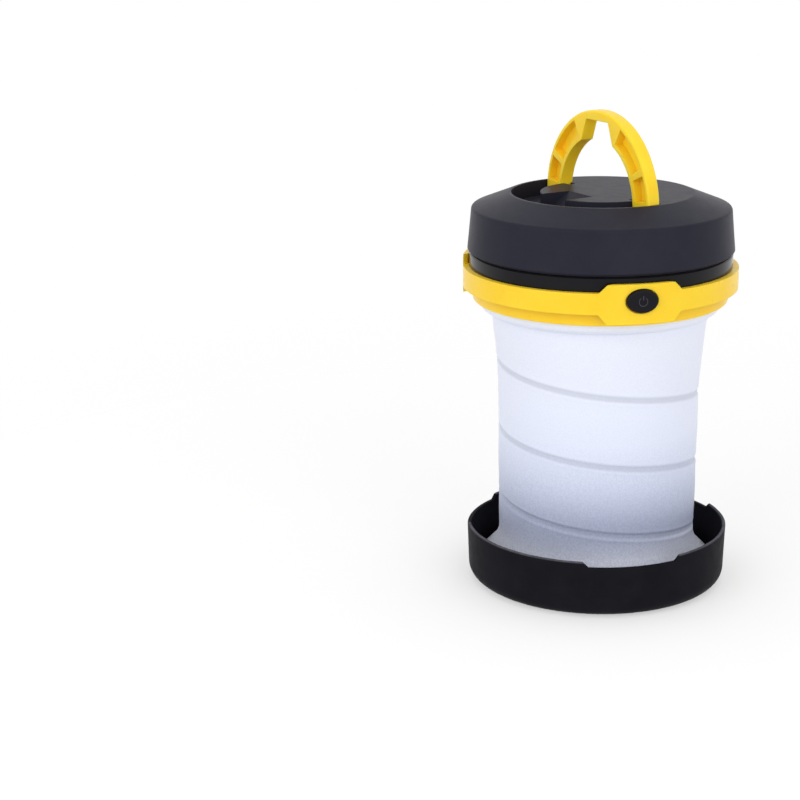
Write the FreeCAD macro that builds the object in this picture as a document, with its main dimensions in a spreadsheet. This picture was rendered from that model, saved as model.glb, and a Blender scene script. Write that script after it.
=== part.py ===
import FreeCAD, Part
import math
import os
import types

import Sketcher

# A pop-up camping lantern. A black cup is its foot, a soft shade with a spiral fold line collapses
# into that cup, and a round head holds the cells, the lamp, the push switch and a folding handle.
# Millimetres, +Z up, origin at the centre of the foot on the table. The handle's pivot line lies
# along X and the handle folds towards -Y. The switch side is turned from -Y by button_turn.

Vector = FreeCAD.Vector
UP = Vector(0, 0, 1)
document = FreeCAD.newDocument("camping_lantern")

DRIVING = (
    ("body_height", 130.0, "table to the flat top, drawn out"),
    ("button_turn", 72.0, "switch side about Z, degrees from -Y"),
    ("running_gap", 0.3, "between pieces that move past each other"),
    ("seat_gap", 0.1, "between pieces fixed to each other"),
    ("pin_gap", 0.05, "round pins and screws"),
    ("overcut", 1.0, "how far a cut runs past the face that it opens"),
    ("rim_radius", 43.15, "foot cup, outside at its rim"),
    ("rim_height", 19.0, "foot cup height"),
    ("foot_draft", 0.65, "how much the cup narrows towards the table"),
    ("foot_round", 4.6, "cup's lower outside round"),
    ("foot_wall", 1.1, "cup wall"),
    ("foot_floor", 2.6, "cup floor"),
    ("floor_round", 2.0, "cup's inner corner round"),
    ("rim_chamfer", 0.35, "cup rim edges"),
    ("notch_depth", 1.9, "notches in the cup rim"),
    ("notch_width", 28.4, "notch width at its floor"),
    ("tab_count", 3.0, "tabs on the band and notches in the rim"),
    ("window_radius", 22.0, "torch window in the cup floor"),
    ("window_thickness", 2.0, "torch window"),
    ("window_ledge", 2.5, "floor ledge under the window"),
    ("window_hold", 1.4, "clamp lip over the window"),
    ("window_seal_thickness", 0.5, "gasket under the window"),
    ("clamp_plate", 2.0, "shade clamp over the shade's lower lip"),
    ("clamp_circle", 25.0, "radius of the circle of clamp screws"),
    ("clamp_screw_count", 4.0, "screws under the foot"),
    ("clamp_screw_start", 45.0, "first screw under the foot, degrees from +X"),
    ("clamp_grip", 2.8, "clamp over the shade's lower lip"),
    ("screw_radius", 1.25, "screw shank"),
    ("screw_head_radius", 2.2, "screw head"),
    ("screw_head_height", 1.4, "screw head"),
    ("shade_wall", 1.2, "soft shade"),
    ("waist_radius", 32.4, "shade's narrowest outside"),
    ("shade_taper", 0.4, "how much the shade widens up to its upper bend"),
    ("bend_below_collar", 25.7, "upper bend below the collar's lower edge"),
    ("shade_neck_radius", 35.2, "shade just under its collar"),
    ("collar_wall", 2.8, "shade collar"),
    ("collar_grip", 2.6, "collar inside the lip ring"),
    ("collar_show", 3.7, "collar below the lip ring"),
    ("collar_straight", 0.8, "upright part of the collar below the lip ring"),
    ("collar_step", 0.95, "collar's lower edge outside the shade's neck"),
    ("collar_crease", 0.6, "height of the crease under the collar"),
    ("collar_bulge", 0.35, "roundness of the collar's lower edge"),
    ("upper_slope", 0.45, "share of an even slope in the shade's upper curve"),
    ("flare_angle", 45.0, "slope of the lower flare, degrees"),
    ("cuff_rise", 4.065, "upright part of the shade's lower cuff"),
    ("flare_radius", 9.5, "curve of the lower flare"),
    ("cuff_inset", 2.8, "shade's lower cuff inside the cup wall"),
    ("cuff_lip", 10.6, "turned-in lip of the cuff"),
    ("fold_pitch", 22.8, "fall of the fold line in one turn"),
    ("fold_width_radius", 0.75, "radius of the round fold groove"),
    ("fold_depth", 0.45, "depth of the fold groove"),
    ("fold_start_turn", 134.7, "where the fold line starts, degrees from -Y"),
    ("fold_start_drop", 3.7, "fold line start below the collar"),
    ("fold_end_rise", 1.5, "fold line end above the flare"),
    ("lip_gap", 0.1, "lip ring inside the cup's narrowest wall"),
    ("lip_wall", 2.0, "lip ring wall"),
    ("lip_depth", 8.9, "lip ring below the rim groove's roof"),
    ("lip_flange", 1.7, "lip ring's inner flange"),
    ("lip_round", 0.5, "lip ring's lower outside edge"),
    ("flange_width", 4.8, "inner flanges of lip ring and band"),
    ("rim_gap", 0.35, "band skirt round the cup rim"),
    ("skirt_wall", 1.0, "band skirt"),
    ("skirt_depth", 4.6, "band skirt below the rim groove's roof"),
    ("band_flange", 2.1, "band's inner flange"),
    ("tab_rise", 2.7, "tabs above the band"),
    ("tab_drop", 3.1, "tabs below the band"),
    ("tab_half_angle", 17.5, "half of a tab along the band, degrees"),
    ("tab_end_half_angle", 14.0, "half of a tab at its top and bottom, degrees"),
    ("button_width", 10.0, "push button"),
    ("button_tall", 7.2, "push button"),
    ("button_proud", 0.95, "button in front of its tab"),
    ("button_body", 1.4, "button head from back to front"),
    ("button_drop", 0.45, "button centre below the rim groove's roof"),
    ("button_edge", 0.6, "round edge of the button"),
    ("button_travel", 0.6, "button stroke"),
    ("stem_radius", 1.4, "button stem"),
    ("stem_length", 5.5, "button stem behind the head"),
    ("switch_width", 6.0, "push switch"),
    ("switch_deep", 4.3, "push switch"),
    ("switch_tall", 3.1, "push switch"),
    ("plunger_radius", 1.2, "push switch plunger"),
    ("plunger_length", 1.0, "push switch plunger"),
    ("switch_board_width", 16.0, "switch circuit board"),
    ("switch_board_deep", 12.0, "switch circuit board"),
    ("switch_board_thickness", 1.0, "switch circuit board"),
    ("neck_inset", 0.9, "neck inside the band skirt"),
    ("neck_height", 4.5, "neck above the band"),
    ("deck_thickness", 1.6, "floor of the cell compartment"),
    ("spigot_step", 2.3, "spigot inside the neck"),
    ("spigot_wall", 1.8, "spigot wall"),
    ("spigot_height", 7.1, "spigot above the neck"),
    ("cell_diameter", 14.5, "AA cell"),
    ("cell_body", 49.5, "AA cell without its button"),
    ("cell_nub", 1.0, "AA cell button"),
    ("cell_nub_radius", 2.75, "AA cell button"),
    ("cell_gap", 0.5, "between neighbouring cells"),
    ("cell_lift", 0.3, "cell above the deck"),
    ("cell_headroom", 0.6, "over the cells, under the handle recess"),
    ("contact_room", 2.1, "room for contacts at each end of the cells"),
    ("contact_metal", 0.4, "contact strip"),
    ("contact_width", 9.0, "contact strip"),
    ("contact_tall", 9.0, "contact strip"),
    ("tail_width", 3.0, "contact tails through the deck"),
    ("leaf_width", 4.5, "leaf springs"),
    ("cradle_wall", 1.5, "walls round the cells"),
    ("cradle_height", 9.0, "walls round the cells"),
    ("boss_radius", 2.0, "screw bosses on the deck"),
    ("boss_height", 4.5, "screw bosses on the deck"),
    ("boss_inset", 2.6, "head screws inside the lip ring's wall"),
    ("boss_bite", 2.25, "head screws inside the bosses"),
    ("head_screw_count", 3.0, "screws through the flanges"),
    ("head_screw_start", 90.0, "first head screw, degrees from +X"),
    ("rib_height", 2.1, "ribs between the cells"),
    ("rib_length", 25.0, "ribs between the cells"),
    ("reflector_wall", 1.2, "white reflector dish"),
    ("reflector_rise", 4.55, "dish from its rim to its middle"),
    ("reflector_hole", 4.2, "lamp hole in the dish"),
    ("reflector_flat", 2.4, "flat ring round the lamp hole"),
    ("reflector_brim", 3.6, "flat brim of the dish"),
    ("lamp_board_radius", 11.0, "lamp circuit board"),
    ("lamp_board_thickness", 1.6, "lamp circuit board"),
    ("lamp_width", 5.0, "light-emitting diode"),
    ("lamp_base", 1.0, "light-emitting diode"),
    ("lamp_dome", 1.9, "light-emitting diode dome"),
    ("lamp_screw_circle", 8.0, "lamp board screws"),
    ("lamp_screw_radius", 0.9, "lamp board screws"),
    ("lamp_screw_head", 1.7, "lamp board screws"),
    ("lamp_screw_head_height", 0.7, "lamp board screws"),
    ("lead_radius", 0.6, "insulated wires"),
    ("lead_bend", 3.0, "bend radius of the wires"),
    ("lead_run", 6.0, "straight start of the wires"),
    ("lead_arrival", 25.0, "where the main wires meet the lamp board, degrees"),
    ("switch_lead_gap", 8.0, "between the two switch wires at the switch"),
    ("switch_lead_end_gap", 6.0, "between the two switch wires at the lamp"),
    ("cap_overhang", 0.5, "cap outside the neck"),
    ("cap_draft", 1.25, "how much the cap narrows up to its shoulder"),
    ("cap_wall", 1.8, "cap wall"),
    ("cap_chamfer", 0.8, "cap's lower edge"),
    ("cap_roof_drop", 0.9, "cap's inner shoulder below its outer one"),
    ("cap_roof_inset", 0.6, "cap's inner roof inside its flat top"),
    ("tray_bite", 0.45, "recess tray inside the cap's roof"),
    ("neck_groove", 0.3, "open line between neck and cap"),
    ("shoulder_drop", 4.7, "shoulder below the flat top"),
    ("shoulder_round", 1.0, "cap edges"),
    ("cap_seal_thickness", 0.8, "flat gasket under the cap"),
    ("cap_seal_width", 0.9, "flat gasket under the cap"),
    ("handle_radius", 28.6, "handle outside"),
    ("handle_inner", 20.2, "handle inside"),
    ("handle_thickness", 4.5, "handle"),
    ("handle_edge", 0.7, "round outer edges of the handle"),
    ("pivot_depth", 2.5, "pivot line below the flat top"),
    ("pin_radius", 1.2, "handle's stub pins"),
    ("pin_length", 3.3, "handle's stub pins"),
    ("grip_flat_half", 4.2, "flat of the finger notch"),
    ("grip_mouth_half", 7.4, "mouth of the finger notch"),
    ("grip_wall", 4.2, "handle left outside the finger notch"),
    ("grip_deep", 5.9, "finger notch"),
    ("handle_pocket_wall", 1.4, "walls of the handle's hollow side"),
    ("handle_pocket_depth", 2.85, "handle's hollow side"),
    ("hollow_low", 7.0, "lower hollow starts above the pivot line, degrees"),
    ("hollow_low_sweep", 17.0, "lower hollow, degrees"),
    ("hollow_high", 29.0, "upper hollow starts above the pivot line, degrees"),
    ("hollow_high_sweep", 33.0, "upper hollow, degrees"),
    ("recess_gap", 0.4, "handle recess round the handle"),
    ("recess_inner_gap", 0.6, "handle recess inside the handle"),
    ("recess_floor_gap", 0.25, "handle recess under the folded handle"),
    ("recess_lip", 0.9, "flat left outside the handle recess"),
    ("recess_skin", 1.6, "wall under and beside the handle recess"),
    ("finger_half", 6.6, "finger pocket"),
    ("finger_start", 8.0, "top of the finger ramp from the middle"),
    ("finger_floor", 15.5, "foot of the finger ramp from the middle"),
)


class Size:
    """A size as a number, together with the sheet formula that gives it."""

    def __init__(self, value, formula):
        self.value = value
        self.formula = formula

    def __add__(self, other):
        other = as_size(other)
        return Size(self.value + other.value, f"({self.formula} + {other.formula})")

    def __radd__(self, other):
        return as_size(other) + self

    def __sub__(self, other):
        other = as_size(other)
        return Size(self.value - other.value, f"({self.formula} - {other.formula})")

    def __rsub__(self, other):
        return as_size(other) - self

    def __mul__(self, other):
        other = as_size(other)
        return Size(self.value * other.value, f"({self.formula} * {other.formula})")

    def __rmul__(self, other):
        return as_size(other) * self

    def __truediv__(self, other):
        other = as_size(other)
        return Size(self.value / other.value, f"({self.formula} / {other.formula})")

    def __neg__(self):
        return as_size(0) - self


def as_size(number):
    if isinstance(number, Size):
        return number
    return Size(float(number), f"({float(number):.6f})")


def sine(angle):
    return Size(math.sin(math.radians(angle.value)), f"sin({angle.formula} * 1 deg)")


sheet = document.addObject("Spreadsheet::Sheet", "dims")
d = types.SimpleNamespace()
for row, (alias, value, note) in enumerate(DRIVING, 1):
    sheet.set(f"A{row}", note)
    sheet.set(f"B{row}", str(value))
    sheet.setAlias(f"B{row}", alias)
    setattr(d, alias, Size(value, f"dims.{alias}"))
document.recompute()

# Heights and radii that several pieces share. Pushed together, the lantern is as tall as its stack of
# foot cup, flange, deck, cell and handle recess; the head's travel is what remains of its full height.
recess_depth = d.pivot_depth + d.handle_thickness / 2 + d.recess_floor_gap
head_stack = d.band_flange + d.deck_thickness + d.cell_lift + d.cell_diameter + d.cell_headroom
closed_height = d.rim_height + d.running_gap + head_stack + d.recess_skin + recess_depth
travel = d.body_height - closed_height
groove_roof = d.rim_height + travel + d.running_gap
band_top = groove_roof + d.band_flange
band_bottom = groove_roof - d.skirt_depth
tab_top = band_top + d.tab_rise
tab_bottom = band_bottom - d.tab_drop
lip_bottom = groove_roof - d.lip_depth
lip_flange_bottom = groove_roof - d.lip_flange
deck_top = band_top + d.deck_thickness
neck_top = band_top + d.neck_height
cap_foot = neck_top + d.neck_groove
button_height = groove_roof - d.button_drop
foot_radius = d.rim_radius - d.foot_draft
skirt_inner = d.rim_radius + d.rim_gap
band_radius = skirt_inner + d.skirt_wall
neck_radius = skirt_inner - d.neck_inset
spigot_radius = neck_radius - d.spigot_step
lip_radius = foot_radius - d.foot_wall - d.lip_gap
lip_inner = lip_radius - d.lip_wall
flange_inner = lip_inner - d.flange_width
boss_circle = lip_inner - d.boss_inset
collar_radius = lip_inner - d.seat_gap
cap_radius = neck_radius + d.cap_overhang
recess_outer = d.handle_radius + d.recess_gap
recess_inner = d.handle_inner - d.recess_inner_gap
top_radius = recess_outer + d.recess_lip
pivot_height = d.body_height - d.pivot_depth
recess_floor = d.body_height - recess_depth
window_bottom = d.foot_floor + d.window_seal_thickness
window_top = window_bottom + d.window_thickness
window_bore = d.window_radius - d.window_ledge
cuff_bottom = d.foot_floor + d.running_gap
cuff_radius = foot_radius - d.foot_wall - d.cuff_inset
cuff_inner = cuff_radius - d.cuff_lip
clamp_under = cuff_bottom + d.shade_wall + d.running_gap
clamp_top = clamp_under + d.clamp_plate
collar_top = lip_bottom + d.collar_grip
collar_low = lip_bottom - d.collar_show
button_front = band_radius + d.button_proud
button_back = button_front - d.button_body
plunger_tip = button_back - d.stem_length - d.button_travel - d.seat_gap
switch_front = plunger_tip - d.plunger_length
switch_back = switch_front - d.switch_board_deep

nodes = []


def node(item, label, turned=False):
    """Name a finished sub-part, and turn it to the switch side if it belongs there."""
    item.Label = label
    if turned:
        item.Placement = FreeCAD.Placement(Vector(), FreeCAD.Rotation(UP, d.button_turn.value))
        item.setExpression("Placement.Rotation.Angle", d.button_turn.formula)
    nodes.append(item)
    return item


def bind(item, sizes):
    for name, size in sizes.items():
        item.setExpression(name, as_size(size).formula)


LYING = {
    "Z": FreeCAD.Rotation(),
    "X": FreeCAD.Rotation(Vector(0, 1, 0), 90),
    "-X": FreeCAD.Rotation(Vector(0, 1, 0), -90),
    "-Y": FreeCAD.Rotation(Vector(1, 0, 0), 90),
}


def move(item, base):
    for letter, size in zip("xyz", base):
        item.setExpression(f"Placement.Base.{letter}", as_size(size).formula)


def cylinder(name, radius, length, base, way="Z"):
    item = document.addObject("Part::Cylinder", name)
    bind(item, {"Radius": radius, "Height": length})
    item.Placement.Rotation = LYING[way]
    move(item, base)
    return item


def box(name, low, size):
    item = document.addObject("Part::Box", name)
    bind(item, dict(zip(("Length", "Width", "Height"), size)))
    move(item, low)
    return item


def fuse(name, items):
    item = document.addObject("Part::MultiFuse", name)
    item.Shapes = items
    return item


def common(name, items):
    item = document.addObject("Part::MultiCommon", name)
    item.Shapes = items
    return item


def cut(name, base, tools):
    item = document.addObject("Part::Cut", name)
    item.Base = base
    item.Tool = tools[0] if len(tools) == 1 else fuse(f"{name}_tools", tools)
    return item


def group(name, items):
    item = document.addObject("Part::Compound", name)
    item.Links = items
    return item


def origin_feature(body, role):
    return [feature for feature in body.Origin.OriginFeatures if feature.Role == role][0]


def outline(body, name, role, corners):
    """A closed sketch of straight lines, each corner bound to the sheet."""
    sketch = body.newObject("Sketcher::SketchObject", name)
    sketch.AttachmentSupport = [(origin_feature(body, role), "")]
    sketch.MapMode = "FlatFace"
    corners = [(as_size(across), as_size(along)) for across, along in corners]
    points = [Vector(across.value, along.value, 0) for across, along in corners]
    count = len(points)
    for index in range(count):
        sketch.addGeometry(Part.LineSegment(points[index], points[(index + 1) % count]), False)
    for index in range(count):
        sketch.addConstraint(Sketcher.Constraint("Coincident", index, 2, (index + 1) % count, 1))
    for index, corner in enumerate(corners):
        for kind, size in zip(("DistanceX", "DistanceY"), corner):
            number = sketch.addConstraint(Sketcher.Constraint(kind, -1, 1, index, 1, size.value))
            sketch.setExpression(f"Constraints[{number}]", size.formula)
    return sketch


def turned_body(name, corners):
    """A body of revolution about Z from its half section of radius and height."""
    body = document.addObject("PartDesign::Body", name)
    revolution = body.newObject("PartDesign::Revolution", f"{name}_turned")
    sketch = outline(body, f"{name}_section", "XZ_Plane", corners)
    revolution.Profile = sketch
    revolution.ReferenceAxis = (sketch, ["V_Axis"])
    revolution.Angle = 360
    body.Tip = revolution
    document.recompute()
    return body


def prism(name, role, corners, depth):
    """A straight prism, centred on the plane of its outline."""
    body = document.addObject("PartDesign::Body", name)
    pad = body.newObject("PartDesign::Pad", f"{name}_pad")
    pad.Profile = outline(body, f"{name}_outline", role, corners)
    pad.Midplane = True
    bind(pad, {"Length": depth})
    body.Tip = pad
    document.recompute()
    return body


def side_pocket(body, name, corners, front):
    """Cut an outline on the XZ plane through the wall on one side of the body."""
    before = body.Shape.Volume
    pocket = body.newObject("PartDesign::Pocket", name)
    pocket.Profile = outline(body, f"{name}_outline", "XZ_Plane", corners)
    pocket.Type = 1
    pocket.Reversed = front
    body.Tip = pocket
    document.recompute()
    if body.Shape.Volume > before - 0.01:
        raise RuntimeError(f"{name} cuts nothing")
    return pocket


def repeat_round(body, name, features, count):
    pattern = body.newObject("PartDesign::PolarPattern", name)
    pattern.Originals = features
    pattern.Axis = (origin_feature(body, "Z_Axis"), [""])
    pattern.Angle = 360
    bind(pattern, {"Occurrences": count})
    body.Tip = pattern
    document.recompute()


def ring_edges(shape, radius, height):
    """The names of a shape's round edges at one radius and height."""
    names = []
    for number, edge in enumerate(shape.Edges, 1):
        curve = edge.Curve
        if not isinstance(curve, Part.Circle):
            continue
        if abs(curve.Radius - radius.value) < 0.01 and abs(curve.Center.z - height.value) < 0.01:
            names.append(f"Edge{number}")
    return names


def dress(body, kind, name, size, rings):
    """Round or chamfer a body's edges, given as pairs of radius and height."""
    base = body.Tip
    edges = []
    for radius, height in rings:
        edges += ring_edges(base.Shape, as_size(radius), as_size(height))
    feature = body.newObject(f"PartDesign::{kind}", name)
    feature.Base = (base, edges)
    bind(feature, {"Radius" if kind == "Fillet" else "Size": size})
    body.Tip = feature
    document.recompute()


def rounded(name, base, radius, wanted):
    """Round those edges of a solid that are wanted."""
    document.recompute()
    item = document.addObject("Part::Fillet", name)
    item.Base = base
    numbers = [number for number, edge in enumerate(base.Shape.Edges, 1) if wanted(edge)]
    item.Edges = [(number, radius.value, radius.value) for number in numbers]
    return item


def polar(radius, degrees):
    """A place on a circle, counted from +X towards +Y."""
    angle = math.radians(degrees)
    return radius * math.cos(angle), radius * math.sin(angle)


def ring_of_places(radius, count, start):
    """Places evenly spaced on a circle."""
    number = round(count.value)
    return [polar(radius, start.value + 360 / number * index) for index in range(number)]


def screws(name, places, head_base, head_sizes, shank_base, shank_sizes):
    """A group of plain screws that stand along Z."""
    made = []
    for number, (across, along) in enumerate(places):
        head = cylinder(f"{name}_head_{number}", *head_sizes, (across, along, head_base))
        shank = cylinder(f"{name}_shank_{number}", *shank_sizes, (across, along, shank_base))
        made.append(fuse(f"{name}_{number}", [head, shank]))
    return group(name, made)


# Foot cup: thin drafted wall with a round lower edge, three notches in its rim that clear the tabs of
# the band, a stepped hole for the window, and counterbored screw holes under its floor.
inner_corner = foot_radius - d.foot_wall
cup = turned_body("cup", [
    (window_bore, 0),
    (foot_radius, 0),
    (d.rim_radius, d.rim_height),
    (d.rim_radius - d.foot_wall, d.rim_height),
    (inner_corner, d.foot_floor),
    (window_bore, d.foot_floor),
])
dress(cup, "Chamfer", "cup_rim_edges", d.rim_chamfer, [
    (d.rim_radius, d.rim_height),
    (d.rim_radius - d.foot_wall, d.rim_height),
])
dress(cup, "Fillet", "cup_outer_round", d.foot_round, [(foot_radius, 0)])
dress(cup, "Fillet", "cup_inner_round", d.floor_round, [(inner_corner, d.foot_floor)])
notch_floor = d.rim_height - d.notch_depth
notch_top = d.rim_height + d.overcut
notch = side_pocket(cup, "rim_notch", [
    (-d.notch_width / 2, notch_floor),
    (d.notch_width / 2, notch_floor),
    (d.notch_width / 2 + d.notch_depth + d.overcut, notch_top),
    (-d.notch_width / 2 - d.notch_depth - d.overcut, notch_top),
], front=True)
repeat_round(cup, "rim_notches", [notch], d.tab_count)
foot_screw_places = ring_of_places(d.clamp_circle, d.clamp_screw_count, d.clamp_screw_start)
foot_holes = []
for number, (across, along) in enumerate(foot_screw_places):
    sunk = cylinder(f"foot_sink_{number}", d.screw_head_radius + d.seat_gap,
                    d.screw_head_height + d.seat_gap, (across, along, 0))
    through = cylinder(f"foot_hole_{number}", d.screw_radius + d.pin_gap, d.foot_floor, (across, along, 0))
    foot_holes += [sunk, through]
node(cut("foot_cup_drilled", cup, foot_holes), "base_cup", turned=True)

# Torch window: a clear disc with chamfered edges, on a flat gasket in the cup floor.
bevel = d.rim_chamfer
node(turned_body("window", [
    (0, window_bottom),
    (d.window_radius - bevel, window_bottom),
    (d.window_radius, window_bottom + bevel),
    (d.window_radius, window_top - bevel),
    (d.window_radius - bevel, window_top),
    (0, window_top),
]), "torch_window")
node(turned_body("gasket", [
    (window_bore + d.seat_gap, d.foot_floor),
    (d.window_radius - d.seat_gap, d.foot_floor),
    (d.window_radius - d.seat_gap, window_bottom),
    (window_bore + d.seat_gap, window_bottom),
]), "window_seal")

# Shade clamp: a stepped ring that holds the window's edge and the shade's turned-in lip down.
clamp_inner = d.window_radius - d.window_hold
clamp_web_inner = d.window_radius + d.running_gap
clamp_web_outer = cuff_inner - d.running_gap
clamp_outer = cuff_inner + d.clamp_grip
clamp = turned_body("clamp", [
    (clamp_inner, window_top),
    (clamp_web_inner, window_top),
    (clamp_web_inner, d.foot_floor),
    (clamp_web_outer, d.foot_floor),
    (clamp_web_outer, clamp_under),
    (clamp_outer, clamp_under),
    (clamp_outer, clamp_top),
    (clamp_inner, clamp_top),
])
clamp_hole_depth = clamp_under - d.foot_floor
clamp_holes = [
    cylinder(f"clamp_hole_{number}", d.screw_radius + d.pin_gap, clamp_hole_depth + d.clamp_plate / 2,
             (across, along, d.foot_floor))
    for number, (across, along) in enumerate(foot_screw_places)
]
node(cut("clamp_drilled", clamp, clamp_holes), "shade_clamp", turned=True)
node(screws("foot_screw", foot_screw_places,
            d.seat_gap, (d.screw_head_radius, d.screw_head_height),
            d.screw_head_height, (d.screw_radius, clamp_under - d.screw_head_height)),
     "clamp_screws", turned=True)

# Soft shade: a thin tapering tube with a thick collar above, a flare and a turned-in cuff below, and
# one spiral fold groove that runs down its outside.
wall = d.shade_wall.value
bend_height = collar_low.value - d.bend_below_collar.value
bend_radius = d.waist_radius.value + d.shade_taper.value
neck_foot = collar_low.value - d.collar_crease.value
flare_angle = d.flare_angle.value
flare_slope = math.tan(math.radians(flare_angle))
outer_flare = d.flare_radius.value
inner_flare = outer_flare + wall
slope_radius = d.waist_radius.value + outer_flare * (1 - math.cos(math.radians(flare_angle)))
slope_rise = (cuff_radius.value - slope_radius) / flare_slope
cuff_shoulder = cuff_bottom.value + d.cuff_rise.value
flare_height = cuff_shoulder + slope_rise + outer_flare * math.sin(math.radians(flare_angle))
flare_centre = Vector(d.waist_radius.value + outer_flare, 0, flare_height)


def section_point(radius, height):
    return Vector(radius, 0, height)


def flare_point(curve_radius, degrees):
    """A place on the lower flare, which turns from upright to its slope."""
    angle = math.radians(degrees)
    return flare_centre + Vector(-math.cos(angle), 0, -math.sin(angle)) * curve_radius


def upper_point(share, inward):
    """A place on the curved upper wall, from its bend (0) to just under the collar (1)."""
    rise = d.shade_neck_radius.value - bend_radius
    curve = share * (d.upper_slope.value + (1 - d.upper_slope.value) * share)
    radius = bend_radius + rise * curve - inward
    return section_point(radius, bend_height + (neck_foot - bend_height) * share)


slope_start = flare_point(outer_flare, flare_angle)
inner_slope_start = flare_point(inner_flare, flare_angle)
inner_shoulder = inner_slope_start.z - (cuff_radius.value - wall - inner_slope_start.x) / flare_slope
collar_inner = collar_radius.value - d.collar_wall.value
collar_edge = lip_bottom.value - d.collar_straight.value
collar_foot = d.shade_neck_radius.value + d.collar_step.value
collar_middle = section_point(
    (collar_radius.value + collar_foot) / 2 + d.collar_bulge.value,
    (collar_edge + collar_low.value) / 2 - d.collar_bulge.value,
)
section_edges = []


def line_to(start, end):
    section_edges.append(Part.LineSegment(start, end).toShape())
    return end


def arc_to(start, middle, end):
    section_edges.append(Part.Arc(start, middle, end).toShape())
    return end


first = section_point(collar_radius.value, collar_top.value)
pen = line_to(first, section_point(collar_radius.value, collar_edge))
pen = arc_to(pen, collar_middle, section_point(collar_foot, collar_low.value))
pen = line_to(pen, upper_point(1, 0))
pen = arc_to(pen, upper_point(0.5, 0), upper_point(0, 0))
pen = line_to(pen, flare_point(outer_flare, 0))
pen = arc_to(pen, flare_point(outer_flare, flare_angle / 2), slope_start)
pen = line_to(pen, section_point(cuff_radius.value, cuff_shoulder))
pen = line_to(pen, section_point(cuff_radius.value, cuff_bottom.value))
pen = line_to(pen, section_point(cuff_inner.value, cuff_bottom.value))
pen = line_to(pen, section_point(cuff_inner.value, cuff_bottom.value + wall))
pen = line_to(pen, section_point(cuff_radius.value - wall, cuff_bottom.value + wall))
pen = line_to(pen, section_point(cuff_radius.value - wall, inner_shoulder))
pen = line_to(pen, inner_slope_start)
pen = arc_to(pen, flare_point(inner_flare, flare_angle / 2), flare_point(inner_flare, 0))
pen = line_to(pen, upper_point(0, wall))
pen = arc_to(pen, upper_point(0.5, wall), upper_point(1, wall))
pen = line_to(pen, section_point(collar_inner, collar_edge))
pen = line_to(pen, section_point(collar_inner, collar_top.value))
line_to(pen, first)
shade_tube = Part.Face(Part.Wire(section_edges)).revolve(Vector(), UP, 360)

fold_start = collar_low.value - d.fold_start_drop.value
fold_end = flare_height + d.fold_end_rise.value
fold_turns = (fold_start - fold_end) / d.fold_pitch.value
upper_arc = section_edges[3].Curve


def shade_outside(height):
    """The shade's outside radius on its upright wall."""
    if height > bend_height:
        return upper_arc.Center.x - math.sqrt(upper_arc.Radius ** 2 - (height - upper_arc.Center.z) ** 2)
    share = (height - flare_height) / (bend_height - flare_height)
    return d.waist_radius.value + d.shade_taper.value * share


def fold_point(turn):
    """A place on the groove's centre line, a number of turns from its start."""
    height = fold_start - turn * d.fold_pitch.value
    radius = shade_outside(height) + d.fold_width_radius.value - d.fold_depth.value
    angle = math.radians(d.fold_start_turn.value + 360 * turn)
    return Vector(radius * math.sin(angle), -radius * math.cos(angle), height)


def fold_way(turn):
    step = 0.001
    return (fold_point(turn + step) - fold_point(turn - step)).normalize()


def arc_between(start, corner, end):
    """The arc that leaves start towards corner and reaches end from it."""
    weight = start.distanceToPoint(end) / 2 / start.distanceToPoint(corner)
    middle = (start + end + corner * (2 * weight)) * (1 / (2 + 2 * weight))
    return Part.Arc(start, middle, end).toShape()


def biarc(start, start_way, end, end_way):
    """Two arcs that join two places smoothly along the ways given there."""
    span = end - start
    ways = start_way + end_way
    square = 2 * (1 - start_way.dot(end_way))
    linear = 2 * span.dot(ways)
    length = (-linear + math.sqrt(linear ** 2 + 4 * square * span.dot(span))) / (2 * square)
    start_corner = start + start_way * length
    end_corner = end - end_way * length
    joint = (start_corner + end_corner) * 0.5
    return [arc_between(start, start_corner, joint), arc_between(joint, end_corner, end)]


fold_pieces = math.ceil(fold_turns * 4)
fold_marks = [fold_turns * number / fold_pieces for number in range(fold_pieces + 1)]
fold_edges = []
for mark, next_mark in zip(fold_marks, fold_marks[1:]):
    fold_edges += biarc(fold_point(mark), fold_way(mark), fold_point(next_mark), fold_way(next_mark))
groove_ring = Part.Circle(fold_point(0), fold_way(0), d.fold_width_radius.value)
fold_groove = Part.Wire(fold_edges).makePipeShell([Part.Wire(groove_ring.toShape())], True, False)
print(f"fold line: {fold_turns:.2f} turns, least gap between turns "
      f"{d.fold_pitch.value - 2 * d.fold_width_radius.value:.2f} mm")
shade = document.addObject("Part::Feature", "shade_moulding")
shade.Shape = shade_tube.cut(fold_groove)
node(shade, "shade")

# Lip ring: the lower yellow ring of the head. It grips the shade's collar and is screwed to the deck.
# A window in its flange clears the switch, and a round hole lets the button's stem through.
switch_window_half = d.switch_board_width / 2 + d.seat_gap
switch_window = (
    (-switch_window_half, -lip_inner, lip_flange_bottom - d.overcut),
    (switch_window_half * 2, lip_inner - switch_back + d.running_gap,
     band_top - lip_flange_bottom + d.overcut),
)
screw_hole = d.screw_radius + d.pin_gap
stem_hole_radius = d.stem_radius + d.running_gap
head_screw_places = ring_of_places(boss_circle, d.head_screw_count, d.head_screw_start)
lip = turned_body("lip", [
    (lip_inner, lip_bottom),
    (lip_radius, lip_bottom),
    (lip_radius, groove_roof),
    (flange_inner, groove_roof),
    (flange_inner, lip_flange_bottom),
    (lip_inner, lip_flange_bottom),
])
dress(lip, "Fillet", "lip_edge", d.lip_round, [(lip_radius, lip_bottom)])
lip_holes = [
    cylinder(f"lip_hole_{number}", screw_hole, d.lip_flange, (across, along, lip_flange_bottom))
    for number, (across, along) in enumerate(head_screw_places)
]
lip_stem_hole = cylinder("lip_stem_hole", stem_hole_radius, d.lip_wall + d.overcut * 2,
                         (0, -lip_inner + d.overcut, button_height), "-Y")
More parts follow.
